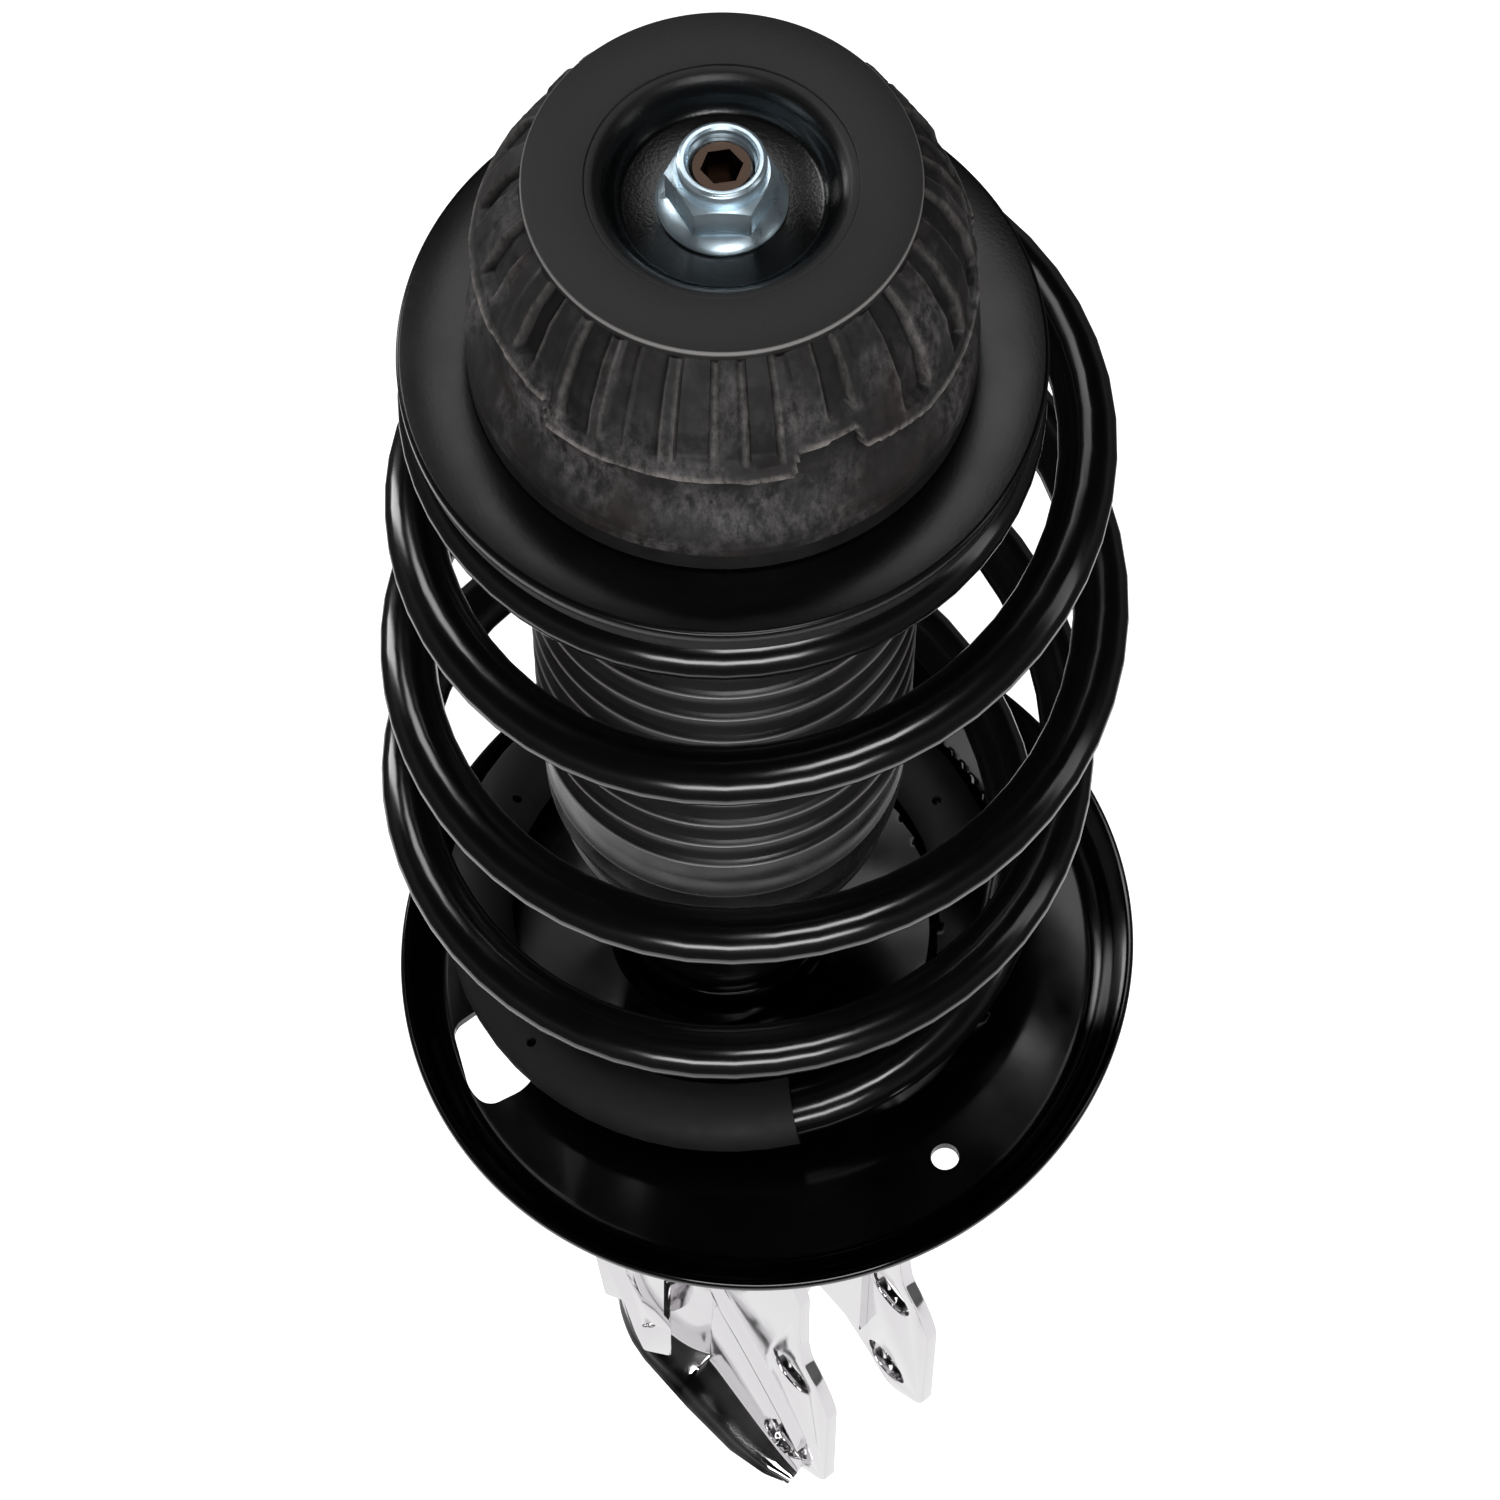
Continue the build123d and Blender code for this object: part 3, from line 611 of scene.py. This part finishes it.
def make_mount_rubber(colours):
    """Conical rubber block with moulded pockets, a lip whose pale edge is partly wear and partly painted
    highlight, and a smooth band below it.
    """
    wall = [(43.0, -3.4), (47.5, -9), (52.5, -20), (54.6, -31), (55.2, -44), (56.6, -50), (56.6, -58)]
    fine, ring_step, aside = [wall[0]], 0.8, 1.1
    for (r0, z0), (r1, z1) in zip(wall, wall[1:]):
        count = round(math.dist((r0, z0), (r1, z1)) / ring_step)
        fine += [(r0 + (r1 - r0) * step / count, z0 + (z1 - z0) * step / count)
                 for step in range(1, count + 1)]
    inside = [(30, -58), (26, -50), (20, -46), (20, -13), (24.5, -11.5), (28, -3.4)]
    bm = turned(fine + inside, 540)
    wear_and_lip_highlight = bm.verts.layers.float.new("wear_and_lip_highlight")
    lip_and_pocket_shade = bm.verts.layers.float.new("lip_and_pocket_shade")
    for vert in bm.verts:
        radius = math.hypot(vert.co.x, vert.co.y) / MM
        height = vert.co.z / MM
        if radius < 42.5 or height < -57.5:
            continue
        angle = math.degrees(math.atan2(vert.co.y, vert.co.x))
        lip = between(MOUNT_LIP, angle)
        pocket = pocket_depth(angle, height)
        beside = max(pocket_depth(angle - aside, height), pocket_depth(angle + aside, height))
        # Painted highlight along the lip's edge, and wear at the pockets' edges.
        vert[wear_and_lip_highlight] = min(1.0, 0.8 * ease(1.4 - abs(height - lip - 0.5) / 0.9)
                         + 0.25 * ease((beside - pocket - 0.5) / 0.8) * ease((height - lip) / 2))
        # Painted shade under the lip and in the pockets.
        vert[lip_and_pocket_shade] = min(1.0, 0.8 * ease((lip - height) / 0.6) * ease((height - lip + 11) / 10)
                         + 0.7 * ease(pocket / 2.5) * ease((height - lip) / 2))
        rough = 0.16 * noise.noise(vert.co * 160) + 0.1 * noise.noise(vert.co * 420) + 0.2
        shrink = 1 - (pocket + max(0.0, rough)) / radius
        vert.co.x *= shrink
        vert.co.y *= shrink
    rubber = show("mount_block", bm, mount_compound(colours.mount), 50)
    finish_piece(rubber, "top_mount", "mount_rubber", "mount_rubber")


def make_upper_seat(colours):
    """Pressed upper seat with a flat satin rim, and the rubber ring under it."""
    seat = show("upper_seat_pressing", turned([
        (72.3, -67.5), (72.3, -71), (70.9, -71), (70.0, -70), (56, -70), (54.2, -74), (38, -74), (38, -80),
        (35.5, -80), (35.5, -71.5), (51.6, -71.5), (54, -67.5)],
        240, {0: 1.0, 1: 0.4, 4: 1.0, 5: 1.0, 10: 1.0, 11: 0.8}),
        # The seat's coat is the plate's colour darkened to a quarter: a shaded copy, painted shade so its
        # front sinks black under the mount.
        satin_coat(shaded(colours.plate, 0.25)))
    ring = show("upper_isolator_ring", turned([
        (71.4, -71.3), (71.8, -73), (71, -77.4), (66, -79), (59, -78.4), (57.5, -75), (57.5, -70.3),
        (69.4, -70.3)],
        240, {1: 0.6, 2: 1.4, 3: 1.5, 4: 1.2}),
        moulded_part("moulded_isolator_rubber", "#101010", 0.5, 0.7, 0.9))
    finish_piece(seat, "spring_top", "black_plate", "upper_spring_seat")
    finish_piece(ring, "spring_top", "seal_rubber", "upper_isolator")


def make_boot(sizes, colours):
    """Dust boot: sharp thin ribs with shallow bands between them, and a plain hem."""
    pitch = sizes.rib_pitch / MM
    outer = [(46.4, -78.5), (45.2, -80.6), (44.6, -88.0)]
    for index in range(sizes.rib_count):
        crest = FIRST_CREST - index * pitch
        outer += [(44.9, crest + 0.95), (46.3, crest + 0.3), (46.5, crest), (46.2, crest - 0.3),
                  (44.8, crest - 0.95), (44.0, crest - pitch * 0.3), (43.8, crest - pitch * 0.5),
                  (44.1, crest - pitch * 0.72)]
    del outer[-3:]  # the hem starts straight below the last rib
    outer += [(45.2, -239.5), (45.3, -246), (45.3, -253.4), (45.7, -254.2), (45.7, -255.2), (45.4, -256.0),
              (45.4, -264), (45.2, -266.4), (44.2, -270), (43.0, -274), (41.9, -278.6), (41.9, -280.0),
              (42.4, -281.0), (42.4, -282.2), (41.8, -283), (40.9, -283)]
    wall = 1.6
    inner = [(radius - wall, height) for radius, height in reversed(outer[:-2])]
    collar = [(44.4, -80.3), (38.3, -80.3), (38.3, -78.5)]
    boot = show("bellows_boot", turned(outer + inner[:-1] + collar, 200), boot_rubber(colours.boot), 38)
    finish_piece(boot, "spring_top", "boot_rubber", "dust_boot")
    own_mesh(boot)


def make_spring(sizes, colours):
    """The coil spring, with square-cut ends."""
    spring = wire_mesh("spring_wire", COIL_FIRST, COIL_LAST, sizes.wire / 2, True,
                       spring_powder(colours.spring))
    finish_piece(spring, "strut_body", "spring_paint", "coil_spring")
    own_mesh(spring)


def make_sleeve(sizes):
    """Sleeve on the spring's last turn, with square ends and small vent holes."""
    sleeve = wire_mesh("wire_sleeve", SLEEVE_FIRST, COIL_LAST, sizes.wire / 2 + SLEEVE_REACH * MM, False,
                       matte_sleeve())
    wall = sleeve.modifiers.new("wall", "SOLIDIFY")
    wall.thickness = sizes.sleeve_wall
    wall.offset = -1.0
    settle(sleeve)
    vents, fine = [], 50
    for angle, radius in VENTS:
        quarter = next(step / fine for step in range(int(SLEEVE_FIRST * fine), int(COIL_LAST * fine))
                       if abs((COIL_START - 90 * step / fine - angle + 180) % 360 - 180) < 1.5)
        height = coil_point(quarter)[2]
        foot = (radius * math.cos(math.radians(angle)), radius * math.sin(math.radians(angle)), height + 5)
        vents.append(rod_cutter(VENT_RADIUS, foot, (foot[0], foot[1], height + 12), 24))
    combine(sleeve, vents)
    shade(sleeve.data, 35)
    finish_piece(sleeve, "strut_body", "sleeve_rubber", "spring_sleeve")
    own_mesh(sleeve)


def rim_plane(x, y):
    """Height of the lower seat's tipped rim in mm."""
    return RIM_HEIGHT + RIM_SLOPE[0] * (x - RIM_CENTRE) + RIM_SLOPE[1] * y


def dish_height(x, y):
    """Height of the lower seat's upper face in mm: the bowl, or the spring's channel where deeper."""
    reach = math.hypot(x - RIM_CENTRE, y)
    curl, rise = BOWL_CURL
    bowl = rim_plane(x, y) - BOWL_DEPTH + rise * min(1.0, max(0.0, (reach - BOWL_FLAT) / curl)) ** 2
    near = math.hypot(x, y)
    bank = 5.0 * max(0.0, CHANNEL_INNER - near, near - CHANNEL_OUTER)
    channel = CHANNEL_HEIGHT + CHANNEL_SLOPE[0] * x + CHANNEL_SLOPE[1] * y + bank
    soft = 1.2
    blend = max(0.0, soft - abs(bowl - channel)) / soft
    return min(bowl, channel) - blend * blend * soft / 4


def make_lower_seat(colours):
    """Offset dish with a rolled rim, spring channel, drain hole and slot, and its welded collar."""
    rings = 64
    top = [(DISH_INNER + (DISH_OUTER - DISH_INNER) * step / rings, 0.0) for step in range(rings + 1)]
    lip = [(93.0, -3.3), (93.9, -2.4), (94.8, -1.45), (95.6, -0.7), (96.4, -0.2), (97.0, -0.1),
           (97.45, -0.45), (97.7, -1.1), (97.7, -2.6), (97.2, -3.6), (96.2, -4.6), (95.2, -6.4)]
    under = [(radius, -DISH_WALL) for radius, _ in reversed(top)]
    bm = turned(top + lip + under, 288)
    for vert in bm.verts:
        radius = math.hypot(vert.co.x, vert.co.y) / MM
        angle = math.atan2(vert.co.y, vert.co.x)
        shift = RIM_CENTRE * min(1.0, (radius - DISH_INNER) / (OFFSET_REACH - DISH_INNER))
        x = shift + radius * math.cos(angle)
        y = radius * math.sin(angle)
        offset = vert.co.z / MM
        base = rim_plane(x, y) if radius > DISH_OUTER + 0.3 else dish_height(x, y)
        vert.co = (x * MM, y * MM, (base + offset) * MM)
    finish = gloss_enamel(colours.seat)
    dish = show("spring_dish", bm, finish, 40)
    below, above = CUT_HEIGHTS
    drain = rod_cutter(DRAIN_RADIUS, (*DRAIN_CENTRE, above), (*DRAIN_CENTRE, below))
    slot = show("slot_cutter", extruded(SLOT_OUTLINE, below, above, 3.0), None)
    combine(dish, [drain, slot])
    shade(dish.data, 38)
    collar = show("dish_collar", turned([
        (28.5, -351), (28.5, -359.6), (29.6, -361.6), (32.0, -362.6), (32.0, -364), (28.5, -366.5),
        (28.5, -372), (25.53, -372), (25.53, -351)], 120, {0: 0.6, 8: 0.4, 6: 0.4}), finish)
    finish_piece(dish, "strut_body", "black_enamel", "lower_spring_seat")
    finish_piece(collar, "strut_body", "black_enamel")


# The bracket in mm: its shell goes round the tube and on along both ears, and its lower lip turns out.
SHELL_RADIUS = 29.55
SHELL_WALL = 3.7
SHELL_TOP = -478.0
SHELL_FRONT = 62.0
SHELL_BEND = 20.5  # X where the round part meets the ears
SHELL_HOLE = 8.9
EAR_FACE = 21.5
EAR_HOLE = 8.25
BOLT_X = 55.5
BOLT_HEIGHTS = (-561.5, -619.5)
BEAD = 27.0  # how far above the crease the shell and its bead reach
LIP_SHARE = 0.74  # how far down the shell its lip starts
# Along X: the crease's height, then the lip's height where it starts, and its edge's reach and height.
CREASE = [(20, -574), (25, -581), (34, -590), (45, -603), (52, -612), (62, -627)]
LIP_START = [(-30, -602), (-18, -605), (0, -613), (6, -614.5), (25, -617), (43, -624.5), (62, -633.5)]
LIP_REACH = [(-30, 33), (-18, 34.5), (0, 38.2), (6, 38.5), (25, 37.2), (43, 34.6), (55, 31), (62, 27)]
LIP_LOW = [(-30, -608), (-18, -612), (0, -622), (6, -624), (25, -628.5), (43, -634), (62, -637)]
EAR_OUTLINE = [
    (14, -478), (34, -478), (52, -484), (59.3, -500), (59.3, -533), (61, -543),
    (66, -549.5), (70.4, -557.5), (73, -565), (73, -620), (71, -624.5), (64, -630.5),
    (60, -634), (55.5, -634), (47, -626.5), (31, -615), (14, -612)]


def shell_swell(x, height):
    """How far the shell stands out of the ear's face in mm: a bead, then a gusset below the crease."""
    drop = between(CREASE, x) - height
    bead = 2.4 * math.sin(math.pi * ease((drop + BEAD) / (BEAD - 1))) if -BEAD < drop < -1 else 0.0
    gusset = 3.2 * (1 - math.exp(-max(0.0, drop) / 9))
    return bead + gusset - 0.15


def shell_point(along, down):
    """A point of the shell's outer face in mm, from 0 to 1 along its plan and down its height."""
    flat = SHELL_FRONT - SHELL_BEND
    start = math.acos(SHELL_BEND / SHELL_RADIUS)
    arc = (2 * math.pi - 2 * start) * SHELL_RADIUS
    place = along * (2 * flat + arc)
    side = -1 if along < 0.5 else 1
    place = min(place, 2 * flat + arc - place)
    on_ear = place < flat
    if on_ear:
        x, base = SHELL_FRONT - place, EAR_FACE
        top = between(CREASE, x) + BEAD
    else:
        x = SHELL_RADIUS * math.cos(start + (place - flat) / SHELL_RADIUS)
        base = math.sqrt(max(0.0, SHELL_RADIUS ** 2 - x * x))
        top = SHELL_TOP - max(0.0, -8.0 - x) * 0.25
    turn, low, reach = between(LIP_START, x), between(LIP_LOW, x), between(LIP_REACH, x)
    height, turned_out = top + (turn - top) * min(1.0, down / LIP_SHARE), 0.0
    if down > LIP_SHARE:
        share = (down - LIP_SHARE) / (1 - LIP_SHARE)
        # the lip bends outwards, with a slow ripple and a rolled edge
        height = turn * (1 - share) ** 2 + (turn - 1.5) * 2 * share * (1 - share)
        height += (low + 1.6) * share ** 2
        height += 0.7 * math.sin(2 * math.pi * share) * share - 1.6 * ease((share - 0.82) / 0.18)
        turned_out = share ** 2
    out = base
    swell = shell_swell(max(x, 20.0), max(height, turn))
    if on_ear:
        out += swell
    elif x > 6:
        out = max(out, out + (swell - 1.0) * ease((x - 6) / 14.5) * 0.5)
    if x < 0:
        radius = SHELL_RADIUS + (reach - SHELL_RADIUS) * turned_out
        angle = math.pi - math.asin(min(1.0, base / SHELL_RADIUS))
        return Vector((radius * math.cos(angle), side * radius * math.sin(angle), height))
    return Vector((x, side * (out + (reach - out) * turned_out), height))


def make_bracket(sizes):
    """Knuckle bracket: a shell round the tube whose lower edge turns out, and two bolted ears."""
    finish = bright_sheet()
    bm = bmesh.new()
    bmesh.ops.create_grid(bm, x_segments=200, y_segments=70, size=1.0)
    for vert in bm.verts:
        vert.co = shell_point((vert.co.x + 1) / 2, (1 - vert.co.y) / 2) * MM
    for height in BOLT_HEIGHTS:
        bolt = Vector((BOLT_X, 0, height)) * MM
        within = [face for face in bm.faces if
                  ((face.calc_center_median() - bolt) * Vector((1, 0, 1))).length < SHELL_HOLE * MM]
        rim = {vert for face in within for vert in face.verts if not set(vert.link_faces) <= set(within)}
        for vert in rim:
            away = (vert.co - bolt) * Vector((1, 0, 1))
            vert.co += away * (SHELL_HOLE * MM / away.length - 1)
        bmesh.ops.delete(bm, geom=within, context="FACES")
    bmesh.ops.recalc_face_normals(bm, faces=bm.faces)
    middle = min(bm.faces, key=lambda face: face.calc_center_median().x)
    if middle.normal.x > 0:
        bmesh.ops.reverse_faces(bm, faces=bm.faces)
    shell = show("bracket_shell", bm, finish, 45)
    wall = shell.modifiers.new("wall", "SOLIDIFY")
    wall.thickness = SHELL_WALL * MM
    wall.offset = -1.0
    break_edges(shell, 0.5, 2)
    shade(shell.data, 50)
    finish_piece(shell, "strut_body", "bright_steel", "knuckle_bracket")
    for name, near in (("near_ear", -EAR_FACE), ("far_ear", EAR_FACE - sizes.bracket_sheet / MM)):
        flat = extruded(EAR_OUTLINE, 0, sizes.bracket_sheet / MM, 2.2)
        bmesh.ops.rotate(flat, cent=(0, 0, 0), matrix=Matrix.Rotation(math.radians(90), 3, "X"),
                         verts=flat.verts)
        lowest = min(vert.co.y for vert in flat.verts)
        bmesh.ops.translate(flat, vec=(0, near * MM - lowest, 0), verts=flat.verts)
        ear = show(name, flat, finish)
        combine(ear, [rod_cutter(EAR_HOLE, (BOLT_X, -40, height), (BOLT_X, 40, height), 64)
                      for height in BOLT_HEIGHTS])
        break_edges(ear, 0.6, 3)
        shade(ear.data, 40)
        finish_piece(ear, "strut_body", "bright_steel")


# The hose tab's strip and foot in mm, seen from its front: the outlines and how far forward they stand.
TAB_DEPTH = (36.0, 38.0)
FOOT_DEPTH = (22.5, 36.2)
CLIP_HOLE = 2.0
FOOT_OUTLINE = [(-19.3, -596), (-17.3, -596), (-17.3, -574), (-19.3, -574)]
TAB_OUTLINE = [
    (-17.4, -597), (-17.2, -574), (-21.3, -561), (-25.4, -552), (-29.3, -532), (-31.5, -506),
    (-36.5, -502), (-39, -506), (-36.3, -545), (-31, -550), (-28, -576), (-25.5, -592)]


def make_hose_tab():
    """Hose tab: a leaning strip with a hole, and the foot that joins it to the bracket."""
    finish = bright_sheet()
    upright = Matrix.Rotation(math.radians(90), 4, "X")
    faced = Matrix.Rotation(math.atan2(FRONT_X, -FRONT_Y), 4, "Z")
    bm = extruded(TAB_OUTLINE, *TAB_DEPTH, 1.6)
    bmesh.ops.transform(bm, matrix=faced @ upright, verts=bm.verts)
    tab = show("hose_tab", bm, finish)
    here = faced @ Vector((-23.8, -37.0, -571.0))
    out = faced @ Vector((0, -1, 0)) * 10
    combine(tab, [rod_cutter(CLIP_HOLE, here - out, here + out, 32)])
    foot = extruded(FOOT_OUTLINE, *FOOT_DEPTH)
    bmesh.ops.transform(foot, matrix=faced @ upright, verts=foot.verts)
    combine(tab, [show("tab_foot", foot, finish)], "UNION")
    break_edges(tab, 0.3, 2)
    shade(tab.data, 40)
    finish_piece(tab, "strut_body", "bright_steel", "hose_bracket")


def finish_frame_parts():
    """Gives every part that keeps its own shape its real finish."""
    finishes = {
        machined_metal("turned_bare_steel", "#a3a19d", 0.28, 0.42, 0.7): [
            "mount_core", "piston_nut", "pressure_tube", "end_cap"],
        machined_metal("ground_bearing_steel", "#c7c8ca", 0.1, 0.2, 0.5): [
            "bearing_upper_race", "bearing_lower_race", "bearing_balls", "compression_shims",
            "rebound_shims"],
        machined_metal("sintered_iron", "#6c6a68", 0.5, 0.65, 0.6): ["piston", "rod_guide", "base_valve"],
        machined_metal("sintered_bush_bronze", "#a77b45", 0.3, 0.45, 0.6): ["rod_guide_bush"],
        # The seal rubber is near black, darker than the other rubbers: partly its own black, partly
        # painted shade so the dust seal under the mount sinks into the shade there.
        moulded_part("moulded_seal_rubber", "#0d0c0c", 0.5, 0.65, 0.8): ["bearing_dust_seal", "rod_seal"],
        moulded_part("moulded_cage_nylon", "#d9d3bf", 0.35, 0.5, 0.8): ["bearing_cage"],
        moulded_part("microcellular_bumper_foam", "#c9b183", 0.75, 0.9, 1.2): ["bump_stop"],
        moulded_part("moulded_stop_plastic", "#2e3a46", 0.35, 0.5, 0.8): ["rebound_stop"],
        moulded_part("filled_band_plastic", "#5d5348", 0.4, 0.55, 0.7): ["piston_band"],
        gloss_enamel(linear("#0a0a0a")): ["strut_tube", "tube_cap"],
        bright_sheet(): ["bracket_inner_plate"],
        rod_finish(): ["piston_rod"],
        mount_compound(linear("#171615")): ["mount_base_ring"],
    }
    for finish, nodes in finishes.items():
        for node in nodes:
            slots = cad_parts[node].data.materials
            if not slots:
                slots.append(finish)
            for place in range(len(slots)):
                slots[place] = finish


# --- stage ---

def add_softbox(name, place, aim, width, height, power):
    """A white rectangular studio light."""
    light = bpy.data.lights.new(name, "AREA")
    light.shape = "RECTANGLE"
    light.size = width
    light.size_y = height
    light.energy = power
    lamp = bpy.data.objects.new(name, light)
    lamp.location = place
    lamp.rotation_mode = "QUATERNION"
    lamp.rotation_quaternion = (Vector(aim) - Vector(place)).to_track_quat("-Z", "Y")
    bpy.context.scene.collection.objects.link(lamp)


def add_floor(name, bm, drop, finish_name, colour, glow):
    """A level sheet of matt paper with a glow of its own, a drop in mm below the strut."""
    bmesh.ops.translate(bm, vec=(0, 0, CAD_BOX[0][2] - drop * MM), verts=bm.verts)
    finish = start_finish(finish_name, {
        "Base Color": linear(colour), "Roughness": 0.9, "Specular IOR Level": 0.1,
        "Emission Color": (1, 1, 1, 1), "Emission Strength": glow})[0]
    sheet = show(name, bm, finish)
    return sheet


def make_stage():
    """Pale floor, plain soft light, a sky that is pale low down and dark overhead, and the camera."""
    scene = bpy.context.scene
    scene.view_settings.view_transform = "Standard"
    wide = bmesh.new()
    bmesh.ops.create_grid(wide, x_segments=1, y_segments=1, size=6.0)
    floor = add_floor("studio_floor", wide, 0.5, "matt_white_paper", "#eeeeee", 0.9)
    floor.visible_glossy = False
    small = bmesh.new()
    bmesh.ops.create_circle(small, cap_ends=True, segments=96, radius=0.45)
    add_floor("studio_sheet", small, 2.0, "grey_white_card", "#505050", 0.85)

    world = bpy.data.worlds.new("studio")
    scene.world = world
    world.use_nodes = True
    tree = world.node_tree
    tree.nodes.clear()
    around = add_node(tree, "TexCoord").outputs["Generated"]
    rise = add_node(tree, "SeparateXYZ", {}, {0: around})
    lift = add_node(tree, "MapRange", {"From Min": -1.0, "From Max": 1.0}, {"Value": rise.outputs["Z"]})
    fade = add_node(tree, "ValToRGB", {}, {0: lift})
    stops = fade.color_ramp.elements
    stops[0].position, stops[0].color = 0.3, (0.05, 0.05, 0.05, 1)
    stops[1].position, stops[1].color = 0.72, (0.004, 0.004, 0.004, 1)
    for position, level in ((0.46, 0.12), (0.52, 0.15), (0.6, 0.04)):
        stops.new(position).color = (level, level, level, 1)
    sky = add_node(tree, "Background", {"Strength": 1.0}, {0: fade})
    add_node(tree, "OutputWorld", {}, {0: sky})

    front = Vector((FRONT_X, FRONT_Y, 0))
    side = Vector((-FRONT_Y, FRONT_X, 0))
    up = Vector((0, 0, 1))
    add_softbox("low_front_box", front * 1.4 + up * 0.12, (0, 0, -0.3), 1.1, 0.3, 11)
    add_softbox("high_front_box", front * 0.95 + side * 0.2 + up * 1.3, (0, 0, -0.1), 0.6, 0.35, 7)
    add_softbox("right_strip", side * 1.3 + front * 0.3 + up * 0.25, (0, 0, -0.3), 0.25, 1.2, 1.5)
    add_softbox("left_strip", side * -1.2 + front * -0.75, (0, 0, -0.3), 0.25, 0.8, 5)
    add_softbox("left_back_box", (-0.92, -0.2, 0.9), (0, 0, 0), 0.4, 0.4, 3.2)
    add_softbox("back_top_box", front * -0.8 + side * 0.05 + up * 1.5, (0, 0, 0), 0.8, 0.6, 4.0)

    lens = bpy.data.cameras.new("camera")
    lens.lens = 129.83
    lens.sensor_width = 36.0
    lens.clip_start = 0.05
    lens.clip_end = 50.0
    camera = bpy.data.objects.new("camera", lens)
    look = Vector((-0.3485, 0.2897, -0.8914)).normalized()
    right = Vector((0.6392, 0.7689, 0)).normalized()
    over = right.cross(look)
    tilt = 0.003638
    across = math.cos(tilt) * right + math.sin(tilt) * over
    upward = math.cos(tilt) * over - math.sin(tilt) * right
    turn = Matrix((across, upward, -look)).transposed().to_4x4()
    camera.matrix_world = Matrix.Translation((0.4816, -0.3921, 0.9574)) @ turn
    scene.collection.objects.link(camera)
    scene.camera = camera


# --- operators and panel ---

class STRUT_OT_stage(bpy.types.Operator):
    """Add the floor, the lights and the camera"""
    bl_idname = "strut.stage"
    bl_label = "Stage"

    def execute(self, context):
        make_stage()
        return {"FINISHED"}


class STRUT_OT_top_mount(bpy.types.Operator):
    """Build the nut, the plate and the mount's rubber"""
    bl_idname = "strut.top_mount"
    bl_label = "Top mount"

    def execute(self, context):
        make_nut(context.scene.strut_sizes, context.scene.strut_colours)
        make_top_plate(context.scene.strut_colours)
        make_mount_rubber(context.scene.strut_colours)
        return {"FINISHED"}


class STRUT_OT_upper_seat(bpy.types.Operator):
    """Build the upper spring seat and its rubber ring"""
    bl_idname = "strut.upper_seat"
    bl_label = "Upper seat"

    def execute(self, context):
        make_upper_seat(context.scene.strut_colours)
        return {"FINISHED"}


class STRUT_OT_boot(bpy.types.Operator):
    """Build the ribbed dust boot"""
    bl_idname = "strut.boot"
    bl_label = "Dust boot"

    def execute(self, context):
        make_boot(context.scene.strut_sizes, context.scene.strut_colours)
        return {"FINISHED"}


class STRUT_OT_spring(bpy.types.Operator):
    """Build the coil spring and the sleeve on its last turn"""
    bl_idname = "strut.spring"
    bl_label = "Spring and sleeve"

    def execute(self, context):
        make_spring(context.scene.strut_sizes, context.scene.strut_colours)
        make_sleeve(context.scene.strut_sizes)
        return {"FINISHED"}


class STRUT_OT_lower_seat(bpy.types.Operator):
    """Build the dished lower spring seat"""
    bl_idname = "strut.lower_seat"
    bl_label = "Lower seat"

    def execute(self, context):
        make_lower_seat(context.scene.strut_colours)
        return {"FINISHED"}


class STRUT_OT_bracket(bpy.types.Operator):
    """Build the knuckle bracket and the hose tab"""
    bl_idname = "strut.bracket"
    bl_label = "Knuckle bracket"

    def execute(self, context):
        make_bracket(context.scene.strut_sizes)
        make_hose_tab()
        return {"FINISHED"}


class STRUT_OT_frame_parts(bpy.types.Operator):
    """Finish the parts that keep the frame's own shape"""
    bl_idname = "strut.frame_parts"
    bl_label = "Frame parts"

    def execute(self, context):
        finish_frame_parts()
        return {"FINISHED"}


STEPS = [
    STRUT_OT_stage, STRUT_OT_frame_parts, STRUT_OT_top_mount, STRUT_OT_upper_seat, STRUT_OT_boot,
    STRUT_OT_spring, STRUT_OT_lower_seat, STRUT_OT_bracket,
]


class STRUT_PT_panel(bpy.types.Panel):
    """Lists the strut's sizes, colours and build steps"""
    bl_idname = "STRUT_PT_panel"
    bl_label = "Suspension strut"
    bl_space_type = "VIEW_3D"
    bl_region_type = "UI"
    bl_category = "Strut"

    def draw(self, context):
        for group in (context.scene.strut_sizes, context.scene.strut_colours):
            for name in group.__annotations__:
                self.layout.prop(group, name)
        for step in STEPS:
            self.layout.operator(step.bl_idname)


def register():
    """Adds the classes and the two groups of settings to Blender."""
    for kind in [StrutSizes, StrutColours, *STEPS, STRUT_PT_panel]:
        bpy.utils.register_class(kind)
    bpy.types.Scene.strut_sizes = PointerProperty(type=StrutSizes)
    bpy.types.Scene.strut_colours = PointerProperty(type=StrutColours)


def unregister():
    """Takes them out again."""
    del bpy.types.Scene.strut_colours
    del bpy.types.Scene.strut_sizes
    for kind in reversed([StrutSizes, StrutColours, *STEPS, STRUT_PT_panel]):
        bpy.utils.unregister_class(kind)


def main():
    """Builds everything in order."""
    register()
    for step in STEPS:
        getattr(bpy.ops.strut, step.bl_idname.split(".")[1])()


if __name__ == "__main__":
    main()
